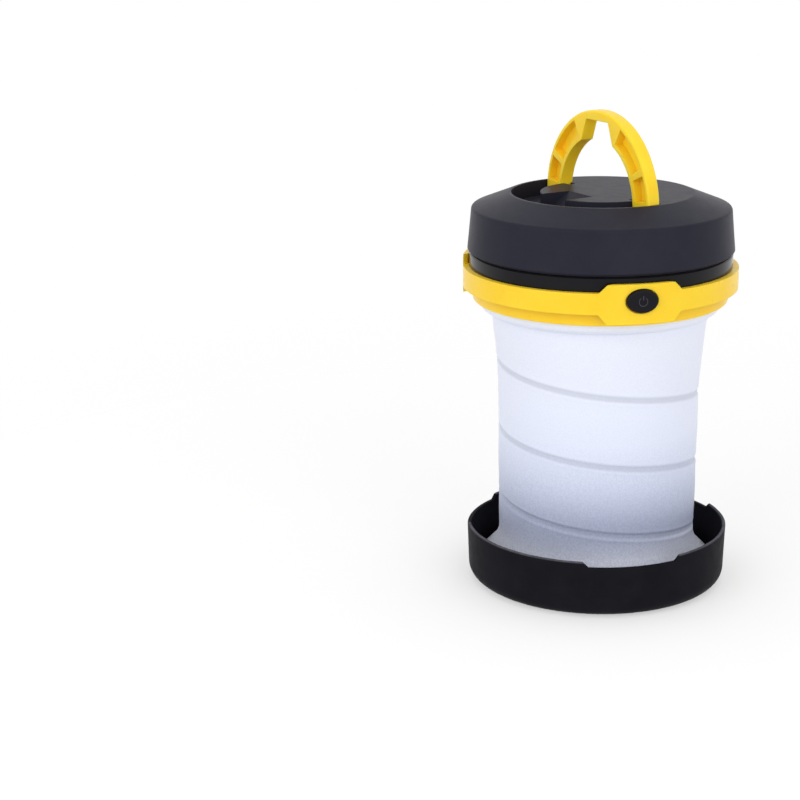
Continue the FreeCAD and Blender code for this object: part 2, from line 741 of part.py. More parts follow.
node(cut("lip_cut", lip, lip_holes + [lip_stem_hole, box("lip_switch_window", *switch_window)]),
     "shade_ring", turned=True)

# Yellow band: a thin skirt that the cup's rim slides into, with an inner flange and three tabs that
# stand above and below it with sloping ends. The front tab has the button's oval hole.
half_spacing = as_size(180) / d.tab_count
gap_half = band_radius * sine(half_spacing - d.tab_half_angle)
gap_end_half = band_radius * sine(half_spacing - d.tab_end_half_angle)
tab_inner = neck_radius + d.running_gap
band = turned_body("band", [
    (flange_inner, groove_roof),
    (skirt_inner, groove_roof),
    (skirt_inner, tab_bottom),
    (band_radius, tab_bottom),
    (band_radius, tab_top),
    (tab_inner, tab_top),
    (tab_inner, band_top),
    (flange_inner, band_top),
])
upper_gap = side_pocket(band, "upper_gap", [
    (-gap_half, band_top),
    (gap_half, band_top),
    (gap_end_half, tab_top),
    (gap_end_half, tab_top + d.overcut),
    (-gap_end_half, tab_top + d.overcut),
    (-gap_end_half, tab_top),
], front=False)
repeat_round(band, "upper_gaps", [upper_gap], d.tab_count)
lower_gap = side_pocket(band, "lower_gap", [
    (-gap_half, band_bottom),
    (gap_half, band_bottom),
    (gap_end_half, tab_bottom),
    (gap_end_half, tab_bottom - d.overcut),
    (-gap_end_half, tab_bottom - d.overcut),
    (-gap_end_half, tab_bottom),
], front=False)
repeat_round(band, "lower_gaps", [lower_gap], d.tab_count)


def oval(name, width, tall, front, depth):
    """An upright oval block that reaches back from its front face towards the axis."""
    ellipse = document.addObject("Part::Ellipse", f"{name}_outline")
    bind(ellipse, {"MajorRadius": width / 2, "MinorRadius": tall / 2})
    ellipse.Placement.Rotation = LYING["-Y"]
    move(ellipse, (0, -front, button_height))
    block = document.addObject("Part::Extrusion", name)
    block.Base = ellipse
    block.DirMode = "Custom"
    block.Dir = Vector(0, 1, 0)
    block.Solid = True
    bind(block, {"LengthFwd": depth})
    return block


button_hole = oval("button_hole", d.button_width + d.running_gap * 2, d.button_tall + d.running_gap * 2,
                   band_radius + d.overcut, d.skirt_wall + d.overcut * 2)
stem_slot = box("stem_slot", (-stem_hole_radius, -skirt_inner, button_height - stem_hole_radius),
                (stem_hole_radius * 2, skirt_inner - flange_inner, stem_hole_radius * 2))
band_holes = [
    cylinder(f"band_hole_{number}", screw_hole, d.band_flange, (across, along, groove_roof))
    for number, (across, along) in enumerate(head_screw_places)
]
node(cut("band_cut", band, band_holes + [button_hole, stem_slot, box("band_switch_window", *switch_window)]),
     "trim_band", turned=True)

# Push button: an oval head with a round edge, and a stem that reaches the switch behind it.
button_head = oval("button_head", d.button_width, d.button_tall, button_front, d.button_body)
button_round = rounded("button_round", button_head, d.button_edge,
                       lambda edge: abs(edge.CenterOfMass.y + button_front.value) < 0.01)
button_stem = cylinder("button_stem", d.stem_radius, d.stem_length,
                       (0, -button_back + d.stem_length, button_height), "-Y")
node(fuse("button_whole", [button_round, button_stem]), "button", turned=True)

# Push switch and its small board, which lies against the underside of the deck.
switch_board_bottom = band_top - d.switch_board_thickness
switch_body = box("switch_body",
                  (-d.switch_width / 2, -switch_front, switch_board_bottom - d.switch_tall),
                  (d.switch_width, d.switch_deep, d.switch_tall))
plunger = cylinder("plunger", d.plunger_radius, d.plunger_length, (0, -switch_front, button_height), "-Y")
node(fuse("switch_whole", [switch_body, plunger]), "tact_switch", turned=True)
switch_panel = box("switch_panel", (-d.switch_board_width / 2, -switch_front, switch_board_bottom),
                   (d.switch_board_width, d.switch_board_deep, d.switch_board_thickness))
node(group("switch_panels", [switch_panel]), "switch_board", turned=True)

# Head housing: the black neck, the deck under the cells, the spigot for the cap, the cradle walls and
# ribs that hold the cells, and the bosses for the screws from below.
spigot_inner = spigot_radius - d.spigot_wall
spigot_top = neck_top + d.spigot_height
housing = turned_body("housing", [
    (0, band_top),
    (neck_radius, band_top),
    (neck_radius, neck_top),
    (spigot_radius, neck_top),
    (spigot_radius, spigot_top),
    (spigot_inner, spigot_top),
    (spigot_inner, deck_top),
    (0, deck_top),
])
dress(housing, "Chamfer", "housing_edges", d.rim_chamfer, [
    (neck_radius, neck_top),
    (spigot_radius, spigot_top),
])
cell_length = d.cell_body + d.cell_nub
cradle_half = cell_length / 2 + d.contact_room
cell_pitch = d.cell_diameter + d.cell_gap
cradle_side = cell_pitch + d.cell_diameter / 2 + d.running_gap
cradle_wide = (cradle_side + d.cradle_wall) * 2
cradle = []
for side in ("left", "right"):
    end_start = cradle_half if side == "right" else -cradle_half - d.cradle_wall
    side_start = cradle_side if side == "right" else -cradle_side - d.cradle_wall
    cradle.append(box(f"cradle_end_{side}", (end_start, -cradle_wide / 2, deck_top),
                      (d.cradle_wall, cradle_wide, d.cradle_height)))
    cradle.append(box(f"cradle_side_{side}", (-cradle_half, side_start, deck_top),
                      (cradle_half * 2, d.cradle_wall, d.cradle_height)))
    rib_middle = cell_pitch / 2 if side == "right" else -cell_pitch / 2
    cradle.append(box(f"cradle_rib_{side}", (-d.rib_length / 2, rib_middle - d.cradle_wall / 2, deck_top),
                      (d.rib_length, d.cradle_wall, d.rib_height)))
bosses = [
    cylinder(f"boss_{number}", d.boss_radius, d.boss_height, (across, along, deck_top))
    for number, (across, along) in enumerate(head_screw_places)
]
boss_hole_depth = d.deck_thickness + d.boss_bite + d.seat_gap
head_screw_reach = d.lip_flange + d.band_flange + d.deck_thickness + d.boss_bite
boss_holes = [
    cylinder(f"boss_hole_{number}", screw_hole, boss_hole_depth, (across, along, band_top))
    for number, (across, along) in enumerate(head_screw_places)
]
lamp_screw_places = [polar(d.lamp_screw_circle, degrees) for degrees in (0, 180)]
lamp_holes = [
    cylinder(f"deck_lamp_hole_{number}", d.lamp_screw_radius + d.pin_gap, d.deck_thickness,
             (across, along, band_top))
    for number, (across, along) in enumerate(lamp_screw_places)
]
tail_room = d.contact_metal + d.running_gap
tail_slot_width = d.tail_width + d.running_gap * 2
tail_slots = [
    box(f"tail_slot_{side}",
        (cradle_half - tail_room if side == "right" else -cradle_half,
         (cell_pitch if side == "right" else -cell_pitch) - tail_slot_width / 2, band_top),
        (tail_room, tail_slot_width, d.deck_thickness))
    for side in ("left", "right")
]
housing_whole = fuse("housing_whole", [housing] + cradle + bosses)
node(cut("housing_drilled", housing_whole, boss_holes + lamp_holes + tail_slots), "head_housing", turned=True)
node(screws("head_screw", head_screw_places,
            lip_flange_bottom - d.screw_head_height, (d.screw_head_radius, d.screw_head_height),
            lip_flange_bottom, (d.screw_radius, head_screw_reach)),
     "head_screws", turned=True)

# Cells: three AA cells side by side, each second one turned end for end. Their buttons stand against
# the flat contact strips.
cell_height = deck_top + d.cell_lift + d.cell_diameter / 2
nub_tip = cradle_half - d.contact_metal - d.seat_gap
flat_end = nub_tip - cell_length
CELLS = 3
for number in range(CELLS):
    along = cell_pitch * (number - 1)
    forward = number % 2 == 0
    way = "X" if forward else "-X"
    start = flat_end if forward else -flat_end
    body_end = start + d.cell_body if forward else start - d.cell_body
    can = cylinder(f"cell_can_{number}", d.cell_diameter / 2, d.cell_body, (start, along, cell_height), way)
    nub = cylinder(f"cell_nub_{number}", d.cell_nub_radius, d.cell_nub, (body_end, along, cell_height), way)
    node(fuse(f"cell_whole_{number}", [can, nub]), f"battery_cell_{number + 1}", turned=True)

# Contacts: flat strips against the cradle's ends, two of them joining neighbouring cells, and bent
# leaf springs that press on the cells' flat ends. The outer strips have tails through the deck.
strip_low = cell_height - d.contact_tall / 2
strip_high = strip_low + d.contact_tall


def contact_strip(name, side, low, high, tail):
    start = cradle_half - d.contact_metal if side == "right" else -cradle_half
    strip = box(name, (start, low, strip_low), (d.contact_metal, high - low, d.contact_tall))
    if not tail:
        return strip
    tail_bottom = band_top - d.running_gap - d.lead_radius * 2
    tongue = box(f"{name}_tail", (start, (low + high) / 2 - d.tail_width / 2, tail_bottom),
                 (d.contact_metal, d.tail_width, strip_low - tail_bottom + d.overcut))
    return fuse(f"{name}_whole", [strip, tongue])


half_strip = d.contact_width / 2
node(group("contact_strips", [
    contact_strip("strip_out", "right", cell_pitch - half_strip, cell_pitch + half_strip, True),
    contact_strip("strip_join_right", "right", -cell_pitch - half_strip, half_strip, False),
    contact_strip("strip_join_left", "left", -half_strip, cell_pitch + half_strip, False),
    contact_strip("strip_in", "left", -cell_pitch - half_strip, -cell_pitch + half_strip, True),
]), "contact_plates", turned=True)
leaf_reach = d.contact_room * 2 - d.contact_metal * 2 - d.seat_gap * 2
leaves = []
for number in range(CELLS):
    on_left = number % 2 == 0
    sign = -1 if on_left else 1
    back = sign * (cradle_half - d.contact_metal)
    tip = back - sign * leaf_reach
    leaf = prism(f"leaf_{number}", "XZ_Plane", [
        (back, strip_low),
        (tip, cell_height),
        (back, strip_high),
        (back, strip_high - d.contact_metal * 2),
        (tip + sign * d.contact_metal, cell_height),
        (back, strip_low + d.contact_metal * 2),
    ], d.leaf_width)
    move(leaf, (0, cell_pitch * (number - 1), 0))
    leaves.append(leaf)
node(group("contact_leaves", leaves), "contact_springs", turned=True)

# Reflector: a white dish that sits on the shade's collar and rises to the lamp in its middle.
dish_rim = collar_top + d.seat_gap
dish_middle = dish_rim + d.reflector_rise
dish_flat = d.reflector_hole + d.reflector_flat
dish_edge = lip_inner - d.seat_gap * 2
dish_brim = dish_edge - d.reflector_brim
node(turned_body("dish", [
    (dish_edge, dish_rim),
    (dish_edge, dish_rim + d.reflector_wall),
    (dish_brim, dish_rim + d.reflector_wall),
    (dish_flat, dish_middle + d.reflector_wall),
    (d.reflector_hole, dish_middle + d.reflector_wall),
    (d.reflector_hole, dish_middle),
    (dish_flat, dish_middle),
    (dish_brim, dish_rim),
]), "reflector")

# Lamp: a round board under the deck, held by two screws, with one diode that shines downwards.
lamp_board_bottom = band_top - d.lamp_board_thickness
lamp_board = cylinder("lamp_panel", d.lamp_board_radius, d.lamp_board_thickness, (0, 0, lamp_board_bottom))
board_holes = [
    cylinder(f"board_hole_{number}", d.lamp_screw_radius + d.pin_gap, d.lamp_board_thickness,
             (across, along, lamp_board_bottom))
    for number, (across, along) in enumerate(lamp_screw_places)
]
node(cut("lamp_panel_drilled", lamp_board, board_holes), "led_board", turned=True)
lamp_base_bottom = lamp_board_bottom - d.lamp_base
lamp_block = box("lamp_block", (-d.lamp_width / 2, -d.lamp_width / 2, lamp_base_bottom),
                 (d.lamp_width, d.lamp_width, d.lamp_base))
lamp_dome = document.addObject("Part::Sphere", "lamp_dome")
bind(lamp_dome, {"Radius": d.lamp_dome})
lamp_dome.Angle2 = 0
move(lamp_dome, (0, 0, lamp_base_bottom))
node(fuse("lamp_whole", [lamp_block, lamp_dome]), "led_emitter", turned=True)
node(screws("lamp_screw", lamp_screw_places,
            lamp_board_bottom - d.lamp_screw_head_height, (d.lamp_screw_head, d.lamp_screw_head_height),
            lamp_board_bottom, (d.lamp_screw_radius, d.lamp_board_thickness + d.deck_thickness)),
     "led_screws", turned=True)

# Wires: from the tails of the two outer contacts to the lamp board, and from there to the switch.
lead_level = band_top.value - d.running_gap.value - d.lead_radius.value
lead_bend = d.lead_bend.value


def lead_shape(points):
    """A round wire along straight runs that are joined by tangent arcs."""
    edges = []
    start = points[0]
    for before, corner, after in zip(points, points[1:], points[2:]):
        way_in = (corner - before).normalize()
        way_out = (after - corner).normalize()
        reach = lead_bend * math.tan(way_in.getAngle(way_out) / 2)
        arc_start = corner - way_in * reach
        arc_end = corner + way_out * reach
        edges.append(Part.LineSegment(start, arc_start).toShape())
        edges.append(arc_between(arc_start, corner, arc_end))
        start = arc_end
    edges.append(Part.LineSegment(start, points[-1]).toShape())
    ring = Part.Circle(points[0], points[1] - points[0], d.lead_radius.value)
    return Part.Wire(edges).makePipeShell([Part.Wire(ring.toShape())], True, False)


def lead(label, routes):
    item = document.addObject("Part::Feature", f"{label}_wire")
    shapes = [lead_shape([Vector(across, along, lead_level) for across, along in route]) for route in routes]
    item.Shape = shapes[0] if len(shapes) == 1 else Part.makeCompound(shapes)
    node(item, label, turned=True)


tail_place = cradle_half.value - d.contact_metal.value
board_edge = d.lamp_board_radius.value + d.running_gap.value
cell_line = cell_pitch.value
red_route = [
    (tail_place, cell_line),
    (tail_place - d.lead_run.value, cell_line),
    polar(board_edge, d.lead_arrival.value),
]
lead("lead_red", [red_route])
lead("lead_black", [[(-across, -along) for across, along in red_route]])
switch_edge = switch_back.value
switch_lead_start = d.switch_lead_gap.value / 2
switch_lead_end = d.switch_lead_end_gap.value / 2
lead("switch_leads", [
    [
        (sign * switch_lead_start, -switch_edge),
        (sign * switch_lead_start, -switch_edge + d.lead_run.value),
        (sign * switch_lead_end, -board_edge),
    ]
    for sign in (-1, 1)
])

# Cap gasket: a flat ring between the neck's shoulder and the cap.
seal_inner = spigot_radius + d.running_gap
seal_outer = seal_inner + d.cap_seal_width
seal_bottom = neck_top + d.seat_gap
seal_top = seal_bottom + d.cap_seal_thickness
node(turned_body("cap_gasket", [
    (seal_inner, seal_bottom),
    (seal_outer, seal_bottom),
    (seal_outer, seal_top),
    (seal_inner, seal_top),
]), "cap_seal")

# Battery cap: a shell with a flat top, a sloping shoulder and a drafted wall. Its top has a C-shaped
# recess for the folded handle, a ramp for a fingertip, and open slots for the handle's stub pins.
cap_inner = cap_radius - d.cap_wall
shoulder_radius = cap_radius - d.cap_draft
shoulder_height = d.body_height - d.shoulder_drop
roof_under = d.body_height - d.cap_wall
seal_land = seal_outer + d.running_gap
seal_roof = seal_top + d.pin_gap
shell = turned_body("cap_shell", [
    (0, d.body_height),
    (top_radius, d.body_height),
    (shoulder_radius, shoulder_height),
    (cap_radius, cap_foot + d.cap_chamfer),
    (cap_radius - d.cap_chamfer, cap_foot),
    (seal_land, cap_foot),
    (seal_land, seal_roof),
    (cap_inner, seal_roof),
    (shoulder_radius - d.cap_wall, shoulder_height - d.cap_roof_drop),
    (top_radius - d.cap_roof_inset, roof_under),
    (0, roof_under),
])
dress(shell, "Fillet", "shell_rounds", d.shoulder_round, [
    (top_radius, d.body_height),
    (shoulder_radius, shoulder_height),
])
tray_bottom = recess_floor - d.recess_skin
tray_tall = roof_under - tray_bottom + d.tray_bite
recess_back = d.handle_thickness / 2 + d.running_gap
wide = top_radius * 2


def c_ring(name, outer, inner, low, tall, back):
    """A ring cut off straight behind the handle's pivot line."""
    ring = cut(f"{name}_ring", cylinder(f"{name}_outer", outer, tall, (0, 0, low)),
               [cylinder(f"{name}_inner", inner, tall, (0, 0, low))])
    half = box(f"{name}_half", (-wide, back - wide, low), (wide * 2, wide, tall))
    return common(name, [ring, half])


tray = c_ring("tray", recess_outer + d.recess_skin - d.recess_lip, recess_inner - d.recess_skin,
              tray_bottom, tray_tall, recess_back + d.recess_skin)
finger_tray_half = d.finger_half + d.recess_skin
finger_tray = box("finger_tray", (-finger_tray_half, -recess_inner, tray_bottom),
                  (finger_tray_half * 2, recess_inner - d.finger_start + d.recess_skin, tray_tall))
pin_inner = d.handle_inner - d.pin_length
slot_inner = pin_inner - d.running_gap
block_half = d.pin_radius + d.recess_skin
slot_radius = d.pin_radius + d.pin_gap
pin_blocks = []
pin_slots = []
for side in ("left", "right"):
    block_wide = recess_inner - slot_inner + d.recess_skin
    block_start = slot_inner - d.recess_skin if side == "right" else -recess_inner
    pin_blocks.append(box(f"pin_block_{side}", (block_start, -block_half, tray_bottom),
                          (block_wide, block_half * 2, tray_tall)))
    slot_wide = d.handle_inner - slot_inner
    slot_start = slot_inner if side == "right" else -d.handle_inner
    pin_slots.append(box(f"pin_slot_{side}", (slot_start, -slot_radius, pivot_height),
                         (slot_wide, slot_radius * 2, d.pivot_depth + d.overcut)))
    pin_slots.append(cylinder(f"pin_seat_{side}", slot_radius, slot_wide, (slot_start, 0, pivot_height), "X"))
recess_tall = recess_depth + d.overcut
recess = c_ring("recess", recess_outer, recess_inner, recess_floor, recess_tall, recess_back)
finger_ramp = prism("finger_ramp", "YZ_Plane", [
    (-d.finger_start, d.body_height),
    (-d.finger_floor, recess_floor),
    (-d.handle_inner, recess_floor),
    (-d.handle_inner, d.body_height + d.overcut),
    (-d.finger_start, d.body_height + d.overcut),
], d.finger_half * 2)
cap_whole = fuse("cap_whole", [shell, tray, finger_tray] + pin_blocks)
node(cut("cap_cut", cap_whole, [recess, finger_ramp] + pin_slots), "top_cap")

# Handle: a half ring with round ends and inward stub pins, a notch for a fingertip under its crown,
# and a hollow side with cross ribs that faces down when the handle is folded.
front_face = d.handle_thickness / 2


def handle_sector(name, outer, inner, start, sweep, face, depth):
    """A piece of a ring in the handle's plane, from one angle above the pivot line to another."""
    pieces = []
    for kind, radius in (("outer", outer), ("inner", inner)):
        piece = cylinder(f"{name}_{kind}", radius, depth, (0, face, pivot_height), "-Y")
        piece.Placement.Rotation = FreeCAD.Rotation(Vector(0, -1, 0), start) * LYING["-Y"]
        piece.Angle = sweep if kind == "outer" else 360
        pieces.append(piece)
    return cut(name, pieces[0], [pieces[1]])


handle_bar = d.handle_radius - d.handle_inner
arch = handle_sector("arch", d.handle_radius, d.handle_inner, 0, 180, front_face, d.handle_thickness)
handle_pieces = [rounded("arch_round", arch, d.handle_edge,
                         lambda edge: edge.Length > d.handle_radius.value * 3)]
for side in ("left", "right"):
    knuckle_start = d.handle_inner if side == "right" else -d.handle_radius
    outer_end = d.handle_radius.value if side == "right" else -d.handle_radius.value
    knuckle = cylinder(f"knuckle_{side}", front_face, handle_bar, (knuckle_start, 0, pivot_height), "X")
    knuckle.Placement.Rotation = LYING["X"] * FreeCAD.Rotation(UP, -90)
    knuckle.Angle = 180
    handle_pieces.append(rounded(
        f"knuckle_round_{side}", knuckle, d.handle_edge,
        lambda edge: isinstance(edge.Curve, Part.Circle) and abs(edge.Curve.Center.x - outer_end) < 0.01))
    pin_start = pin_inner if side == "right" else -d.handle_inner - d.pin_radius
    handle_pieces.append(cylinder(f"stub_pin_{side}", d.pin_radius, d.pin_length + d.pin_radius,
                                  (pin_start, 0, pivot_height), "X"))
grip_top = pivot_height + d.handle_radius - d.grip_wall
grip_notch = prism("grip_notch", "XZ_Plane", [
    (-d.grip_flat_half, grip_top),
    (d.grip_flat_half, grip_top),
    (d.grip_mouth_half, grip_top - d.grip_deep),
    (-d.grip_mouth_half, grip_top - d.grip_deep),
], d.handle_thickness + d.overcut * 2)
hollow_outer = d.handle_radius - d.handle_pocket_wall
hollow_inner = d.handle_inner + d.handle_pocket_wall
hollow_face = -front_face + d.handle_pocket_depth
low_span = (d.hollow_low.value, d.hollow_low_sweep.value)
high_span = (d.hollow_high.value, d.hollow_high_sweep.value)
hollow_spans = [low_span, high_span]
hollow_spans += [(180 - start - sweep, sweep) for start, sweep in hollow_spans]
hollows = [
    handle_sector(f"hollow_{number}", hollow_outer, hollow_inner, start, sweep,
                  hollow_face, d.handle_pocket_depth)
    for number, (start, sweep) in enumerate(hollow_spans)
]
node(cut("handle_cut", fuse("handle_whole", handle_pieces), [grip_notch] + hollows), "handle")

document.recompute()
for item in document.Objects:
    if "Invalid" in item.State or "Error" in item.State:
        raise RuntimeError(f"{item.Label} failed: {item.State}")
for item in nodes:
    if item.Shape.isNull() or not item.Shape.isValid() or not item.Shape.Solids:
        raise RuntimeError(f"{item.Label} has no valid solid")

os.makedirs("parts", exist_ok=True)
for item in nodes:
    item.Shape.exportStep(f"parts/{item.Label}.step")
    print(f"{item.Label}: {len(item.Shape.Solids)} solids, {item.Shape.Volume:.1f} cubic mm")
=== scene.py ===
import math

import bmesh
import bpy
from mathutils import Matrix, Vector


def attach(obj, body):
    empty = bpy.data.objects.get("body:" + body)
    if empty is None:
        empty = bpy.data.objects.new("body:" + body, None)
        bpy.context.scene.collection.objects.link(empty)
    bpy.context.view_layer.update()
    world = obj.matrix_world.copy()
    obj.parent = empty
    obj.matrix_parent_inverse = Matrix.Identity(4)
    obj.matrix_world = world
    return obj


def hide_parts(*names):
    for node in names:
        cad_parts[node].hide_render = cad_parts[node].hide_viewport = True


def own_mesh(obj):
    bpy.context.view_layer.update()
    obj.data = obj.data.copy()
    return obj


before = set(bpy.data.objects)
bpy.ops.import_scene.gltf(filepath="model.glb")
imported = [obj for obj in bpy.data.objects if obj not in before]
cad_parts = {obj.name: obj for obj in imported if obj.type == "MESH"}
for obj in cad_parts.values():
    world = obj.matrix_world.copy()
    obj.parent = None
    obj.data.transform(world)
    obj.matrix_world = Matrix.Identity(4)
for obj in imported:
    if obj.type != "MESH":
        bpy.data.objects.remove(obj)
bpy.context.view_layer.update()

# Camera: a long lens a little above the lantern's head, 55 degrees round from the handle's folding
# side. It aims left of the lantern, which then stands right of the picture's middle.
MM = 0.001
CAMERA_TURN, CAMERA_ROLL = math.radians(55.0), math.radians(-0.614)
CAMERA_BACK, CAMERA_HEIGHT, AIM_HEIGHT, AIM_LEFT = 637.7, 241.8, 59.1, 65.8
lens_data = bpy.data.cameras.new("camera")
lens_data.sensor_width = 36.0
lens_data.lens = 89.7
lens_data.clip_start = 0.01
lens_data.clip_end = 50.0
camera = bpy.data.objects.new("camera", lens_data)
bpy.context.scene.collection.objects.link(camera)
bpy.context.scene.camera = camera
camera_way = Vector((math.sin(CAMERA_TURN), -math.cos(CAMERA_TURN), 0))
camera_side = Vector((math.cos(CAMERA_TURN), math.sin(CAMERA_TURN), 0))
camera_place = (camera_way * CAMERA_BACK + Vector((0, 0, CAMERA_HEIGHT))) * MM
camera_aim = (Vector((0, 0, AIM_HEIGHT)) - camera_side * AIM_LEFT) * MM
looking = (camera_aim - camera_place).to_track_quat("-Z", "Y").to_matrix().to_4x4()
camera.matrix_world = Matrix.Translation(camera_place) @ looking @ Matrix.Rotation(CAMERA_ROLL, 4, "Z")


# Foot cup: black ABS, injection moulded in a fine-sparked tool. A patchy painted highlight makes the top
# edge of its rim a little paler.
def finish_with_shader(name):
    """A new material, its node tree, its shader and the object's own coordinates."""
    finish = bpy.data.materials.new(name)
    finish.use_nodes = True
    tree = finish.node_tree
    place = tree.nodes.new("ShaderNodeTexCoord")
    return finish, tree, tree.nodes["Principled BSDF"], place.outputs["Object"]


def noise_on(tree, place, scale, detail=3.0, rough=0.5):
    """Noise over a place, as a value about 0.5."""
    noise = tree.nodes.new("ShaderNodeTexNoise")
    noise.inputs["Scale"].default_value = scale
    noise.inputs["Detail"].default_value = detail
    noise.inputs["Roughness"].default_value = rough
    tree.links.new(place, noise.inputs["Vector"])
    return noise.outputs["Fac"]


def spread(tree, value, from_range, to_range):
    """Map a value from one range to another, held at the ends."""
    ranged = tree.nodes.new("ShaderNodeMapRange")
    for socket, number in zip(("From Min", "From Max", "To Min", "To Max"), (*from_range, *to_range)):
        ranged.inputs[socket].default_value = number
    tree.links.new(value, ranged.inputs["Value"])
    return ranged.outputs["Result"]


def colour_between(tree, factor, first, second):
    """One colour going over to another. Either may be a socket."""
    mix = tree.nodes.new("ShaderNodeMix")
    mix.data_type = "RGBA"
    tree.links.new(factor, mix.inputs[0])
    for socket, colour in ((mix.inputs[6], first), (mix.inputs[7], second)):
        if isinstance(colour, tuple):
            socket.default_value = (*colour, 1.0)
        else:
            tree.links.new(colour, socket)
    return mix.outputs[2]


def raise_surface(tree, shader, height, strength, depth, edge=0.0):
    """A fine grain on a surface, with the moulded edges softened where a radius is given."""
    bump = tree.nodes.new("ShaderNodeBump")
    if edge:
        soft_edge = tree.nodes.new("ShaderNodeBevel")
        soft_edge.samples = 4
        soft_edge.inputs["Radius"].default_value = edge
        tree.links.new(soft_edge.outputs["Normal"], bump.inputs["Normal"])
    bump.inputs["Strength"].default_value = strength
    bump.inputs["Distance"].default_value = depth
    tree.links.new(height, bump.inputs["Height"])
    tree.links.new(bump.outputs["Normal"], shader.inputs["Normal"])


def moulded_plastic(name, colour, pale, gloss, grain, specular, edge=0.0):
    """Moulded plastic: cloudy colour, uneven gloss, a fine grain (scale, strength, depth), soft edges."""
    finish, tree, shader, place = finish_with_shader(name)
    cloud = spread(tree, noise_on(tree, place, scale=90, detail=4, rough=0.6), (0.35, 0.65), (0, 1))
    tree.links.new(colour_between(tree, cloud, colour, pale), shader.inputs["Base Color"])
    smear = noise_on(tree, place, scale=260, detail=5, rough=0.65)
    tree.links.new(spread(tree, smear, (0.3, 0.7), gloss), shader.inputs["Roughness"])
    shader.inputs["Specular IOR Level"].default_value = specular
    scale, strength, depth = grain
    raise_surface(tree, shader, noise_on(tree, place, scale, detail=2), strength, depth, edge)
    return finish


def dress(finish, *names):
    """Give CAD nodes a finish."""
    for name in names:
        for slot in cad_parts[name].material_slots:
            slot.material = finish


def height_in(tree, place):
    """The height of a place, in metres."""
    split = tree.nodes.new("ShaderNodeSeparateXYZ")
    tree.links.new(place, split.inputs["Vector"])
    return split.outputs["Z"]


def paint_edge_highlight(finish, low, high, colour):
    """Paint a patchy highlight on a finish, paler towards an edge, between two heights."""
    tree = finish.node_tree
    shader = tree.nodes["Principled BSDF"]
    place = tree.nodes["Texture Coordinate"].outputs["Object"]
    old = shader.inputs["Base Color"].links[0].from_socket
    near_edge = spread(tree, height_in(tree, place), (low, high), (0, 1))
    patchy = spread(tree, noise_on(tree, place, scale=240, detail=5, rough=0.7), (0.3, 0.6), (0.45, 1))
    highlight_share = tree.nodes.new("ShaderNodeMath")
    highlight_share.operation = "MULTIPLY"
    tree.links.new(near_edge, highlight_share.inputs[0])
    tree.links.new(patchy, highlight_share.inputs[1])
    mixed = colour_between(tree, highlight_share.outputs[0], old, colour)
    tree.links.new(mixed, shader.inputs["Base Color"])


foot_finish = moulded_plastic(
    "foot_plastic", colour=(0.0085, 0.0083, 0.011), pale=(0.0108, 0.0105, 0.0142),
    gloss=(0.45, 0.58), grain=(2600, 0.25, 0.00005), specular=0.02, edge=0.0003)
# Painted highlight: the rim's top edge is painted paler, unevenly.
paint_edge_highlight(foot_finish, low=0.01845, high=0.01885, colour=(0.105, 0.105, 0.125))
dress(foot_finish, "base_cup")

# Torch window and its gasket: a clear acrylic disc with a lightly frosted face, pressed on a flat ring
# of grey rubber in the cup's floor.
window_finish, tree, shader, place = finish_with_shader("window_acrylic")
shader.inputs["Base Color"].default_value = (0.93, 0.95, 0.96, 1)
shader.inputs["Transmission Weight"].default_value = 0.9
shader.inputs["IOR"].default_value = 1.49
frost = noise_on(tree, place, scale=900, detail=4, rough=0.6)
tree.links.new(spread(tree, frost, (0.3, 0.7), (0.04, 0.16)), shader.inputs["Roughness"])
raise_surface(tree, shader, noise_on(tree, place, scale=500), strength=0.05, depth=0.0001)
dress(window_finish, "torch_window")
rubber_finish = moulded_plastic(
    "gasket_rubber", colour=(0.11, 0.11, 0.115), pale=(0.15, 0.15, 0.155),
    gloss=(0.6, 0.78), grain=(1800, 0.3, 0.00008), specular=0.3)
dress(rubber_finish, "window_seal", "cap_seal")

# Shade: soft silicone, frosted white, moulded as one thin tube with a thick collar, a turned-in cuff
# and one spiral fold line. It is gripped by the lip ring above and clamped to the cup below.
COLLAR_PROFILE = [
    (39.2, 98.0), (39.2, 96.2), (39.2, 94.6), (38.95, 93.6), (38.3, 92.7), (37.3, 92.0), (36.15, 91.7),
    (35.45, 91.5), (35.2, 91.1),
]
INNER_WALL_FOOT = (31.2, 17.1)
INSIDE_PROFILE = [
    (38.6, 6.965), (38.6, 2.9), (28.0, 2.9), (28.0, 4.1), (37.4, 4.1), (37.4, 6.5), (34.34, 9.55),
    (32.3, 12.2), (31.45, 14.8), INNER_WALL_FOOT, (31.6, 66.0), (32.2, 76.0), (33.0, 85.0), (34.0, 91.1),
    (36.4, 94.6), (36.4, 98.0),
]
WALL_TOP, WALL_BEND, WALL_FOOT = 91.1, 66.0, 17.1
BEND_RADIUS, WAIST_RADIUS, NECK_GAIN, NECK_STRAIGHT = 32.8, 32.4, 2.4, 0.45
NECK_STEPS, FLARE_STEPS, FLARE_ROUND, FLARE_ANGLE = 10, 6, 9.5, math.radians(45)
ROW_HEIGHT, INNER_CUTS, SPIN_STEPS, SAME_PLACE = 0.26 * MM, 8, 180, 1e-6


def neck_gain(share):
    """How much wider the wall is than at its bend, by the share of the way up from there."""
    return NECK_GAIN * share * (NECK_STRAIGHT + (1 - NECK_STRAIGHT) * share)


